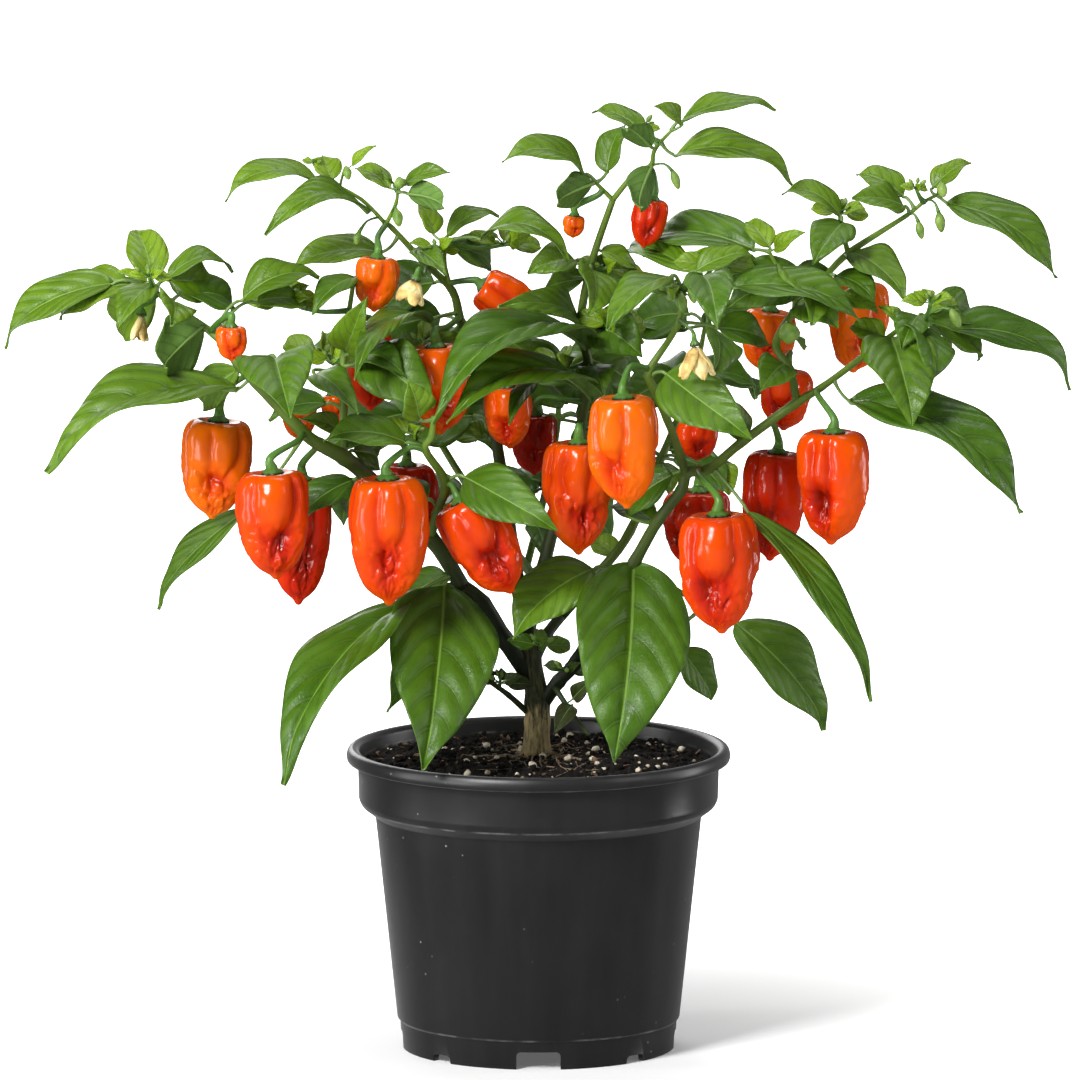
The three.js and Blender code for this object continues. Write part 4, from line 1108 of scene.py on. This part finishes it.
def twig(bm, paths, row):
    """The short twig that carries a sprig of young leaves, with a few tiny buds."""
    right, up = row[1:3]
    start, end = seen(nearest(paths, right, up)), seen(row[1:4])
    middle = start.lerp(end, 0.5) + Vector((0, 0, -0.08 * (end - start).length))
    curved_tube(bm, [(*start, 1.7), (*middle, 1.2), (*end, 0.9)], 8, 8, STALKS, (0.7, 0))
    for k in range(TWIG_BUDS):
        draw = draws(right + 3.1 * k, 1, 4)
        around, out = math.tau * (k + draw[0]) / TWIG_BUDS, between(3.5, 6, draw[1])
        middle = end + Vector((math.cos(around) * out, math.sin(around) * out, between(1, 5, draw[2])))
        little_bud(bm, end, middle, between(3.2, 5, draw[3]))


def little_bud(bm, foot, middle, length):
    """A tiny closed bud at the end of a young shoot."""
    ball = new_shape()
    bmesh.ops.create_uvsphere(ball, u_segments=8, v_segments=6, radius=1)
    turn = Vector((0, 0, 1)).rotation_difference(middle - foot).to_matrix()
    for vert in ball.verts:
        slim = 0.28 * length * (1 - 0.3 * vert.co.z)
        vert.co = middle + turn @ Vector((vert.co.x * slim, vert.co.y * slim, vert.co.z * length / 2))
    join(bm, ball, BUD_SKIN)
    tube(bm, [foot, foot.lerp(middle, 0.6), middle], [0.55, 0.45, 0.5], 6, STALKS, (0.2, 0.1))


def bud(bm, paths, row):
    """A closed flower bud on its thin stalk."""
    right, up, depth, length, width = row
    foot, middle = seen(nearest(paths, right, up)), seen((right, up, depth))
    ball = new_shape()
    bmesh.ops.create_uvsphere(ball, u_segments=12, v_segments=10, radius=1)
    lean = ((middle - foot).normalized() * 0.5 + Vector((0, 0, -1))).normalized()
    turn = Matrix.Identity(3)
    if width < length:
        turn = Vector((0, 0, 1)).rotation_difference(lean).to_matrix()
        length *= 1.2
        width *= 0.9
    for vert in ball.verts:
        x, y, z = vert.co
        pointed = 1 - 0.45 * z ** 2 if z < 0 else 1 - 0.2 * z
        rib = 1 + 0.07 * math.cos(5 * math.atan2(y, x))
        own = (x * pointed * rib * width / 2, y * pointed * rib * width / 2, z * length / 2)
        vert.co = middle + turn @ Vector(own)
    join(bm, ball, BUD_SKIN)
    crown = middle - lean * 0.4 * length
    bend = foot.lerp(crown, 0.6) + Vector((0, 0, 2.5))
    curved_tube(bm, [(*foot, 0.8), (*bend, 0.6), (*crown, 1.1)], 6, 6, STALKS, (0.2, 0.1))


# Leaves

class Leaf:
    """A leaf's place and bend: foot and base of its stalk, tip, width, degrees turned away, arch and seed."""

    def __init__(self, foot, base, tip, width, turn, arch, seed):
        self.foot, self.base, self.tip = foot, base, tip
        self.width, self.arch, self.seed = width, arch, seed
        self.axis = tip - base
        self.length = self.axis.length
        self.axis.normalize()
        facing = (VIEWER - self.axis * VIEWER.dot(self.axis)).normalized()
        upward = self.axis.cross(facing)
        if upward.z + 0.2 * upward.x < 0:
            upward.negate()
        angle = math.radians(turn)
        self.normal = facing * math.cos(angle) + upward * math.sin(angle)
        self.side = self.axis.cross(self.normal)

    def rib(self, along):
        """A point on the rib of the blade."""
        rise = self.arch * self.length * 4 * along * (1 - along)
        sway = 0.05 * self.length * (self.seed - 0.5) * math.sin(math.pi * along)
        return self.base + self.axis * self.length * along + self.normal * rise + self.side * sway

    def droop(self, along):
        """How far the tip hangs below the rib's arch."""
        return BLADE_DROOP * self.length * smooth_step(0.72, 1, along) ** 2

    def youth_and_painted_light(self):
        """From 0 for a full-grown leaf to 1 for the youngest, with painted light and shade mixed in: lighter
        towards the far left, where the key lamp falls, and darker towards the back.
        """
        tip = self.tip
        # The far-left term is painted light: leaves towards the left, where the key lamp shines, are made
        # lighter and yellower.
        youth_and_painted_light = 0.22 * smooth_step(300, 430, tip.z) + 0.3 * smooth_step(120, 250, -tip.x)
        youth_and_painted_light += 0.8 * smooth_step(30, 12, self.length) * smooth_step(210, 270, tip.z)
        youth_and_painted_light += 0.3 * (self.seed - 0.5)
        # Painted shade: leaves towards the back are made a darker green.
        youth_and_painted_light -= 0.4 * smooth_step(40, 100, tip.y)
        return min(max(youth_and_painted_light, 0), 1)


def outline(along):
    """Half width of a blade as a share of the widest, from its foot to its long narrow tip."""
    if along <= 0 or along >= 1:
        return BLADE_SLIMMEST
    body = 1.15 * math.sin(math.pi * along ** 0.76) ** 0.84 * (1 - 0.2 * along)
    return max(body * (1 - 0.34 * smooth_step(0.8, 1, along)), BLADE_SLIMMEST)


def leaves(name):
    """The leaves of a bough."""
    paths = PATHS[name]
    made = []
    for i, row in enumerate(LEAVES[name]):
        base_right, base_up, tip_right, tip_up, tip_depth, width, turn, arch = row
        foot = nearest(paths, base_right, base_up)
        near = math.hypot(base_right - foot[0], base_up - foot[1])
        far = math.hypot(tip_right - base_right, tip_up - base_up)
        depth = foot[2] + (tip_depth - foot[2]) * near / (near + far)
        base, tip = seen((base_right, base_up, depth)), seen((tip_right, tip_up, tip_depth))
        made.append(Leaf(seen(foot), base, tip, width, turn, arch, scatter(i + len(paths))))
    if name == "stem_back":
        made += back_leaves(paths)
    return made + inner_leaves(paths, len(name)) + sprig_leaves(name)


def clear_of_pods(points, room):
    """True where the points keep their distance from every pod."""
    for row in PODS:
        top, tip, width, _ = hanging(row)
        run = tip - top
        for point in points:
            share = min(max((point - top).dot(run) / run.length_squared, 0), 1)
            if (point - top - run * share).length < width / 2 + room:
                return False
    return True


def inner_leaves(paths, seed):
    """Middle-sized leaves that fill the plant between its stems."""
    rule = INNER_LEAVES
    made = []
    for p, path in enumerate(paths):
        for i, spot in enumerate(path[1:]):
            if spot[2] < rule["front"] or not rule["low"] < spot[1] < rule["high"]:
                continue
            for k in range(rule["per_node"]):
                draw = draws(31 * seed + 17 * p + 5.3 * i + 2.1 * k, 0.37, 6)
                heading = math.tau * (k + 0.8 * draw[0]) / rule["per_node"]
                length = rule["length"] + rule["vary"] * (2 * draw[1] - 1)
                foot = seen(spot)
                reach = Vector((math.sin(heading), math.cos(heading), -rule["droop"] * draw[2])) * length
                tip = foot + reach
                base = foot.lerp(tip, 0.24) + Vector((0, 0, 0.12 * length))
                if clear_of_pods([base, base.lerp(tip, 0.5), tip], 0.2 * length):
                    width, turn = length * between(0.52, 0.66, draw[3]), between(15, 60, draw[4])
                    made.append(Leaf(foot, base, tip, width, turn, rule["arch"], draw[5]))
    return made


def sprig_leaves(name):
    """The small young leaves of a bough's sprigs, spread round the end of a twig."""
    made = []
    for s, (stem, right, up, depth, count, longest) in enumerate(SPRIGS):
        if stem != name:
            continue
        centre = seen((right, up, depth))
        for k in range(count):
            draw = draws(7.7 * s + 1.9 * k, 0.23, 4)
            heading = SPRIG_TURN * k + draw[0]
            length = longest * between(1, 0.55, k / count)
            rise = between(-0.1, 0.9, k / count)
            reach = Vector((math.cos(heading), math.sin(heading), rise)).normalized() * length
            base = centre + reach * 0.2
            if clear_of_pods([base, centre + reach * 0.6, centre + reach], 0.12 * length):
                width, turn = length * between(0.45, 0.56, draw[1]), between(10, 50, draw[2])
                made.append(Leaf(centre, base, centre + reach, width, turn, SPRIG_ARCH, draw[3]))
    return made


def back_leaves(paths):
    """The leaves at the back stand out from each joint of their stem, away from the front."""
    rule = BACK_LEAVES
    made = []
    for p, path in enumerate(paths):
        for i, spot in enumerate(path[1:]):
            if spot[2] <= rule["from"]:
                continue
            for k in range(rule["per_node"]):
                count = p * 20 + i * rule["per_node"] + k
                heading = (k - 0.5) * 1.9 + 0.5 * math.sin(rule["spin"] * count)
                length = rule["length"] + rule["length_vary"] * (scatter(count) - 0.5) * 2
                foot = seen(spot)
                tip = foot + Vector((math.sin(heading), math.cos(heading), -rule["droop"])) * length
                seed = scatter(count + 0.5)
                made.append(
                    Leaf(foot, foot.lerp(tip, 0.2), tip, rule["width"], rule["turn_away"], rule["arch"], seed)
                )
    return made


def blade(bm, leaf, settings):
    """A leaf blade: a grid laid along its rib, folded, arched, waved at its edge and quilted."""
    width, length, seed = leaf.width, leaf.length, leaf.seed
    steps = min(max(round(length / 2.3), 14), 44)
    columns = 2 * min(max(round(width / 5), 4), 9)
    verts = bmesh.ops.create_grid(bm, x_segments=columns, y_segments=steps, size=0.5)["verts"]
    pairs = settings.vein_pairs - (2 if length < 30 else 1 if length < 55 else 0)
    quilt = min(settings.quilting * width, 2.2) * between(0.2, 1, smooth_step(18, 44, width))
    where, ages = bm.verts.layers.float_vector["leaf"], bm.verts.layers.float["age"]
    youth_and_painted_light = leaf.youth_and_painted_light()
    for vert in verts:
        share = vert.co.y + 0.5
        along = between(share, 0.5 - 0.5 * math.cos(math.pi * share), 0.35)
        across = math.copysign(abs(2 * vert.co.x) ** 1.15, vert.co.x)
        size = abs(across)
        spread = outline(along)
        half = width / 2 * spread
        hand = 1 if across > 0 else -1
        phase = pairs * (along - VEIN_ARCH * (size * spread) ** 1.5) + (0.5 if across < 0 else 0)
        bulge = abs(math.sin(math.pi * phase)) ** 0.7 * min(size * 5, 1) * (1 - size ** 4)
        lift = half * (BLADE_FOLD * size - BLADE_CURL * size * size) + quilt * bulge * min(1.5 * spread, 1)
        lift += width * BLADE_RIPPLE * size * size * math.sin(11 * along + 6 * seed + 0.7 * hand)
        lift -= 0.25 * (1 - min(size * 8, 1))
        lift -= leaf.droop(along)
        lean = math.radians(24 * (seed - 0.5)) * (along - 0.35)
        slope = math.atan(4 * leaf.arch * (1 - 2 * along))
        upward = leaf.normal * math.cos(slope) - leaf.axis * math.sin(slope)
        outward = leaf.side * math.cos(lean) + upward * math.sin(lean)
        raised = upward * math.cos(lean) - leaf.side * math.sin(lean)
        vert.co = leaf.rib(along) + outward * half * across * (1 - 0.04 * size) + raised * lift
        vert[where] = Vector((across * spread, along, pairs))
        vert[ages] = youth_and_painted_light


def petiole(bm, leaf):
    """A leaf's stalk, which runs on under the blade as its rib."""
    foot, base = leaf.foot, leaf.base
    slim = min(PETIOLE_RADIUS, 0.06 * leaf.width) * 0.95
    control = base - leaf.axis * 0.45 * (base - foot).length
    points, radii = [], []
    for i in range(7):
        t = i / 7
        points.append(foot * (1 - t) ** 2 + control * 2 * t * (1 - t) + base * t * t)
        radii.append(slim * between(1.45, 0.95, min(3 * t, 1)))
    for i in range(11):
        along = i / 10 * 0.9
        sunk = slim * between(0.55, 0.25, along) + 0.25
        points.append(leaf.rib(along) - leaf.normal * (sunk + leaf.droop(along)))
        radii.append(slim * between(0.95, 0.2, along))
    tube(bm, points, radii, 8, PETIOLES, (0.7, 0))


def blade_finish(settings, under):
    """A leaf's surface, with its rib, side veins and the fine net between them."""
    name = "leaf underside" if under else "leaf top"
    finish = Finish(name, 0.6 if under else 0.4, Specular_IOR_Level=0.22 if under else 0.33)
    across, along, pairs = (finish.value("leaf", "Vector").part(axis) for axis in range(3))
    size = abs(across)
    left = finish.math("LESS_THAN", across, 0)
    phase = (along - finish.math("POWER", size, 1.5) * VEIN_ARCH) * pairs + left * 0.5
    phase += finish.mottle(30, detail=1) * 0.2
    off_vein = 0.5 - abs(finish.math("FRACT", phase) - 0.5)
    thin = size.step(0, 0.9, 0.05, 0.02)
    side_vein = 1 - finish.math("MINIMUM", finish.math("DIVIDE", off_vein, thin), 1)
    # Painted shade: the blade is darkened in a band along both sides of each side vein, standing in for the
    # shadow in the quilted valleys.
    vein_valley_shade = off_vein.step(0.01, 0.13, 1, 0) * size.step(0.02, 0.3, 0.95, 0.6)
    rib = size.step(0.008, along.step(0, 1, 0.045, 0.02), 1, 0)
    veins = finish.math("MAXIMUM", rib, side_vein * 0.34)
    net = finish.cells(520).step(0.0, 0.12, 1, 0)
    mottle = finish.mottle(60, detail=4)
    back = tuple(settings.back)
    tones = (back, tinted(back, 1.25)) if under else (tuple(settings.mature), tuple(settings.young))
    # The age value carries the leaf's youth together with its painted light and shade.
    colour = finish.mix(finish.value("age"), *tones)
    deep = finish.mix(1.0, colour, (0.52, 0.6, 0.45), "MULTIPLY")
    colour = finish.mix(mottle.step(0.35, 0.7, 0.7, 0), colour, deep)
    colour = finish.mix(finish.mottle(16, detail=2).step(0.4, 0.65, 0.45, 0), colour, deep)
    colour = finish.mix(net * 0.14, colour, deep)
    # The painted vein-valley shade is multiplied into the colour here.
    colour = finish.mix(vein_valley_shade, colour, finish.mix(1.0, colour, (0.38, 0.48, 0.32), "MULTIPLY"))
    colour = finish.mix(veins * 0.75, colour, (0.22, 0.36, 0.10) if under else (0.17, 0.32, 0.035))
    # Small leaves are made near-black below about 0.2 m up.
    shoot = pairs.step(settings.vein_pairs - 2, settings.vein_pairs - 1, 0.85, 0)
    darker_low_down = shoot * finish.place().part(2).step(0.18, 0.21, 1, 0)
    colour = finish.mix(darker_low_down, colour, (0.022, 0.020, 0.008))
    way = 1 if under else -1
    large = pairs.step(settings.vein_pairs - 1, settings.vein_pairs, 0.7, 1.7)
    pillow = off_vein.step(0, 0.42) * size.step(0.02, 0.3) * large
    relief = veins * (way * 0.35) + net * (way * 0.1) + pillow * (-way * 0.5)
    relief += finish.mottle(900, detail=2) * 0.07
    roughness = None if under else mottle.step(0.3, 0.7, 0.31, 0.48)
    return finish.done(colour, roughness, relief, depth=0.001, strength=0.55)


class MakeStems(bpy.types.Operator):
    """Model the trunk and its boughs, with the stalks of their leaves and pods and the flower buds"""

    bl_idname = "chilli_plant.make_stems"
    bl_label = "Make stems"

    def execute(self, context):
        settings = context.scene.chilli_stems
        materials = [
            wood_finish(settings), bark_finish(settings), calyx_finish(), bud_finish(), petiole_finish(),
        ]
        for name, paths in PATHS.items():
            bm = new_shape()
            wood(bm, name)
            for leaf in leaves(name):
                petiole(bm, leaf)
            for row in BUDS.get(name, ()):
                bud(bm, paths, row)
            for row in own_rows(SPRIGS, name):
                twig(bm, paths, row)
            for row in own_rows(PODS, name):
                stalk(bm, paths, row, POD_CALYX_RADIUS + POD_CALYX_SHARE * row[6], STALK_RADIUS)
            for row in own_rows(FLOWERS, name):
                stalk(bm, paths, row, FLOWER_CALYX_RADIUS, FLOWER_STALK_RADIUS)
            finish_piece(bm, name + "_wood", materials, [name])
        return {"FINISHED"}


class MakeLeaves(bpy.types.Operator):
    """Model the leaves of every bough, folded along the rib, quilted between the veins and wavy-edged"""

    bl_idname = "chilli_plant.make_leaves"
    bl_label = "Make leaves"

    def execute(self, context):
        settings = context.scene.chilli_leaves
        sides = [blade_finish(settings, under) for under in (False, True)]
        for name in PATHS:
            bm = new_shape()
            bm.verts.layers.float_vector.new("leaf")
            for leaf in leaves(name):
                blade(bm, leaf, settings)
            piece = finish_piece(bm, name + "_leaves", sides, [name], outward=False)
            thicken(piece, settings.thickness, -1, back=1)
        return {"FINISHED"}


# Pods

def pod_finish(settings):
    """Waxy glossy skin, from orange to dark red, with painted shade making the grooves and crumpled hollows
    redder and darker.
    """
    finish = Finish("pod skin", 0.22, Specular_IOR_Level=0.3)
    patches = finish.mottle(48)
    # This ripeness value also carries the painted shade of the grooves and hollows.
    ripe = finish.value("age") + (patches - 0.5) * 0.28
    red = tuple(settings.red)
    colour = ripe.ramp(
        (0, (0.72, 0.15, 0.002)), (0.25, tuple(settings.orange)), (0.5, (0.56, 0.044, 0.0005)), (0.78, red),
        (1, tinted(red, 0.5)),
    )
    relief = finish.mottle(150) + finish.mottle(520) * 0.25
    return finish.done(colour, patches.step(0.3, 0.7, 0.15, 0.24), relief, depth=0.0006, strength=0.16)


def turned(angle, other):
    """The smaller angle between two directions round a pod."""
    return math.atan2(math.sin(angle - other), math.cos(angle - other))


def hollow(distance, reach):
    return math.exp(-((distance / reach) ** 2))


def pod_grooves(front, draw):
    """Direction, depth and wander of the grooves between the lobes, the two nearest the viewer first."""
    steps = (-0.42, 0.6, 1.6, -1.5, 2.5, -2.4)
    return [
        (front + step + 0.5 * (draw[k] - 0.5), between(0.5, 1.1, draw[k + 7]), draw[k + 14])
        for k, step in enumerate(steps)
    ]


def facets(spot, depth):
    """Height and crease of a crumpled skin: uneven facets with folds between them."""
    warp = Vector((noise.noise(spot + Vector((9, 0, 0))), noise.noise(spot + Vector((0, 9, 0))), 0)) * depth
    near, spots = noise.voronoi(spot + warp)
    own, other = (scatter(at.dot((3.1, 7.7, 5.3))) for at in spots[:2])
    apart = near[1] - near[0]
    return between((own + other) / 2, own, smooth_step(0, 0.45, apart)), 1 - smooth_step(0, 0.28, apart)


def pod(bm, row, seed, settings):
    """A pod: a ball drawn out to broad lobed shoulders and a crumpled, pinched lower part."""
    top, tip, width, _ = hanging(row)
    up = top - tip
    length = up.length
    up.normalize()
    side = rightward(up)
    other = side.cross(up)
    turns, rings = (112, 92) if width > 24 else (60, 48)
    bmesh.ops.create_uvsphere(bm, u_segments=turns, v_segments=rings, radius=1)
    draw = draws(seed * 1.37, 0.71, 56)
    front = math.pi / 2 + 0.6 * (draw[0] - 0.5)
    grooves = pod_grooves(front, draw[1:])
    mouth = between(0.58, 0.68, draw[22])
    facing = front + 0.9 * (draw[23] - 0.5)
    mouths = (facing, facing + 2.5, facing - 2.5)
    ages = bm.verts.layers.float["age"]
    shift = Vector((seed * 3.7, seed * 1.3, seed * 2.9))
    for vert in bm.verts:
        share = math.acos(min(max(vert.co.z, -1), 1)) / math.pi
        angle = math.atan2(vert.co.y, vert.co.x)
        spread, drop = on_curve(POD_PROFILE, share)
        spot = Vector((1.5 * math.cos(angle), 1.5 * math.sin(angle), 4.2 * drop)) + shift
        strength = smooth_step(0.0, 0.2, drop + 0.05) * (1 - 0.8 * smooth_step(0.5, 0.9, drop))
        groove = 0
        for line, deep, wander in grooves:
            path = line + 0.1 * math.sin(4 * drop + 6 * wander) + 0.06 * noise.noise(spot * 1.5)
            pull = turned(facing, path)
            if abs(pull) < 1:
                path += 0.4 * pull * smooth_step(0.25, mouth, drop)
            off = turned(angle, path)
            groove += deep * (0.4 * hollow(off, 0.12) + 0.6 * hollow(off, 0.38))
        groove = strength * min(groove, 1.15)
        low = smooth_step(0.36, 0.58, drop) * (1 - smooth_step(0.9, 0.97, drop))
        near = max(hollow(turned(angle, way), 0.8) for way in mouths)
        pit = max(hollow(turned(angle, way), 0.42) for way in mouths) * hollow(drop - mouth, 0.15)
        height, crease = facets(spot * 0.75, 0.9)
        small, fold = facets(spot * 1.7, 0.7)
        crumple = low * (0.15 + 0.85 * near) * (0.5 * (0.6 - height) + 0.25 * crease)
        crumple += low * near * (0.26 * (0.5 - small) + 0.24 * fold)
        crumple += low * (0.3 * near + 0.55 * pit)
        swell = 0.05 * noise.noise(spot * 0.55) + 0.035 * noise.noise(spot * 1.5)
        swell += 0.014 * noise.noise(spot * 3.4) * smooth_step(0.05, 0.3, drop)
        radius = 1 - settings.groove * groove + swell - settings.crumple * crumple
        radius *= width / 2 * spread
        sway = 0.035 * width * math.sin(math.pi * drop) * (draw[55] - 0.5) * 2
        shoulder = 0.035 * length * (0.7 - groove) * (
            smooth_step(-0.02, 0.1, drop + 0.03) * (1 - smooth_step(0.2, 0.4, drop))
            * smooth_step(0.3, 0.7, spread))
        vert.co = top - up * (drop * length - shoulder)
        vert.co += side * (radius * math.cos(angle) + sway) + other * radius * 0.97 * math.sin(angle)
        # Painted shade: the grooves and crumpled hollows are pushed towards dark red, on top of the pod's own
        # ripeness.
        vert[ages] = row[9] - 0.02 + 0.26 * min(groove, 1) + 0.34 * min(max(crumple, 0), 1)


class MakePods(bpy.types.Operator):
    """Model the lobed pods, from orange to dark red"""

    bl_idname = "chilli_plant.make_pods"
    bl_label = "Make pods"

    def execute(self, context):
        settings = context.scene.chilli_pods
        skin = pod_finish(settings)
        for number, row in enumerate(PODS, 1):
            bm = new_shape()
            pod(bm, row, number, settings)
            node = f"pod_{number:02d}"
            finish_piece(bm, node + "_skin", [skin], [node])
        return {"FINISHED"}


# Withered flowers

def petal_finish():
    """Papery petals, cream at their edges and tan where they have dried."""
    stops = ((0.3, (0.30, 0.15, 0.035)), (0.48, (0.64, 0.46, 0.15)), (0.65, (0.80, 0.70, 0.36)))
    return grain_finish("withered petals", 0.7, 130, 4, stops, 600, 0.0006, 0.6)


def petals(bm, top, tip, width, seed):
    """Drooping crumpled petals under the calyx."""
    up = (top - tip).normalized()
    length = (top - tip).length
    side = rightward(up)
    other = up.cross(side)
    for k in range(PETAL_COUNT):
        verts = bmesh.ops.create_grid(bm, x_segments=6, y_segments=10, size=0.5)["verts"]
        around = math.tau * (k + 0.5 * scatter(seed + k)) / PETAL_COUNT
        openness = between(0.5, 1, scatter(seed + 3 * k))
        outward = side * math.cos(around) + other * math.sin(around)
        sideways = up.cross(outward)
        for vert in verts:
            along, across = vert.co.y + 0.5, 2 * vert.co.x
            half = 0.25 * width * math.sin(math.pi * (0.06 + 0.9 * along) ** 0.8) ** 0.8 + 0.1
            crumple = 0.07 * width * noise.noise(Vector((3 * along, 2 * across, seed + 2 * k)))
            out = 0.1 * width + 0.5 * width * openness * math.sin(along * 1.5) + crumple
            down = 0.1 * length + length * along * between(1, 0.8, openness * along)
            out -= 0.12 * width * across * across
            vert.co = top - up * down + outward * max(out, 0.2) + sideways * half * across
            vert.co += up * 0.06 * width * noise.noise(Vector((4 * across, 3 * along, seed - k)))


class MakeFlowers(bpy.types.Operator):
    """Model the withered flowers"""

    bl_idname = "chilli_plant.make_flowers"
    bl_label = "Make withered flowers"

    def execute(self, context):
        papery = petal_finish()
        for number, row in enumerate(FLOWERS, 1):
            bm = new_shape()
            top, tip, width, _ = hanging(row)
            petals(bm, top, tip, 1.25 * width, number + 39)
            node = f"withered_flower_{number:02d}"
            piece = finish_piece(bm, node + "_petals", [papery], [node], outward=False)
            thicken(piece, PETAL_THICKNESS * MM, 0)
        return {"FINISHED"}


# Studio

def floor_finish(settings):
    """A pale floor that glows to white away from the pot, so that only a soft shadow shows."""
    finish = Finish("pale floor", 0.9, Specular_IOR_Level=0.1, Emission_Color=(1, 1, 1, 1))
    from_pot = finish.node("VectorMath", {0: finish.place()}, "Value", operation="LENGTH")
    seen_straight = finish.node("LightPath", output="Is Camera Ray")
    glow = from_pot.step(0.3, 1.6, 0.06, 0.9) + seen_straight * from_pot.step(0.09, 0.45, 0.05, 0.9)
    finish.feed(finish.shader.inputs["Emission Strength"], glow)
    return finish.done((*settings.floor, 1))


def studio_air(settings):
    """Even light from all round, and a white ground behind the plant."""
    world = bpy.data.worlds.new("studio air")
    world.use_nodes = True
    tree = world.node_tree
    air = tree.nodes["Background"]
    air.inputs["Color"].default_value = (1, 1, 1, 1)
    rays = tree.nodes.new("ShaderNodeLightPath")
    strength = tree.nodes.new("ShaderNodeMapRange")
    strength.inputs[3].default_value, strength.inputs[4].default_value = settings.air, 1.02
    tree.links.new(rays.outputs["Is Camera Ray"], strength.inputs[0])
    tree.links.new(strength.outputs[0], air.inputs["Strength"])
    return world


class MakeStudio(bpy.types.Operator):
    """Set up the pale floor, the soft lights and the camera"""

    bl_idname = "chilli_plant.make_studio"
    bl_label = "Make studio"

    def execute(self, context):
        scene = context.scene
        settings = scene.chilli_studio
        bm = bmesh.new()
        bmesh.ops.create_grid(bm, x_segments=1, y_segments=1, size=FLOOR_REACH)
        floor = add_object("floor", mesh_of(bm, "floor"))
        floor.data.materials.append(floor_finish(settings))
        floor.visible_glossy = False
        scene.world = studio_air(settings)
        scene.view_settings.view_transform = "Standard"

        for name, (place, (wide, tall), power) in LAMPS.items():
            light = bpy.data.lights.new(name, "AREA")
            light.shape = "RECTANGLE"
            light.size, light.size_y, light.energy = wide, tall, power
            lamp = add_object(name, light)
            lamp.location = PICTURE_MIDDLE + Vector(place)
            lamp.rotation_euler = (-Vector(place)).to_track_quat("-Z", "Y").to_euler()
            lamp.visible_camera = False

        lens = bpy.data.cameras.new("camera")
        lens.sensor_width = SENSOR
        lens.lens = SENSOR * settings.distance / settings.field
        lens.clip_end = 100
        camera = add_object("camera", lens)
        camera.location = PICTURE_MIDDLE + VIEWER * settings.distance
        camera.rotation_mode = "QUATERNION"
        camera.rotation_quaternion = (-VIEWER).to_track_quat("-Z", "Y")
        scene.camera = camera
        return {"FINISHED"}


SETTINGS = {
    "chilli_pot": PotSettings, "chilli_soil": SoilSettings, "chilli_stems": StemSettings,
    "chilli_leaves": LeafSettings, "chilli_pods": PodSettings, "chilli_studio": StudioSettings,
}
OPERATORS = [MakePot, MakeSoil, MakeStems, MakeLeaves, MakePods, MakeFlowers, MakeStudio]


class PlantPanel(bpy.types.Panel):
    """The plant's settings and the buttons that model it"""

    bl_idname = "VIEW3D_PT_chilli_plant"
    bl_label = "Chilli plant"
    bl_space_type = "VIEW_3D"
    bl_region_type = "UI"
    bl_category = "Chilli plant"

    def draw(self, context):
        for name in SETTINGS:
            box = self.layout.box()
            settings = getattr(context.scene, name)
            for prop in settings.bl_rna.properties:
                if prop.identifier not in {"rna_type", "name"}:
                    box.prop(settings, prop.identifier)
        for operator in OPERATORS:
            self.layout.operator(operator.bl_idname)


def register():
    for made in [*SETTINGS.values(), *OPERATORS, PlantPanel]:
        bpy.utils.register_class(made)
    for name, settings in SETTINGS.items():
        setattr(bpy.types.Scene, name, PointerProperty(type=settings))


def unregister():
    for name in SETTINGS:
        delattr(bpy.types.Scene, name)
    for made in reversed([*SETTINGS.values(), *OPERATORS, PlantPanel]):
        bpy.utils.unregister_class(made)


def main():
    register()
    bpy.ops.chilli_plant.make_pot()
    bpy.ops.chilli_plant.make_soil()
    bpy.ops.chilli_plant.make_stems()
    bpy.ops.chilli_plant.make_leaves()
    bpy.ops.chilli_plant.make_pods()
    bpy.ops.chilli_plant.make_flowers()
    bpy.ops.chilli_plant.make_studio()


if __name__ == "__main__":
    main()
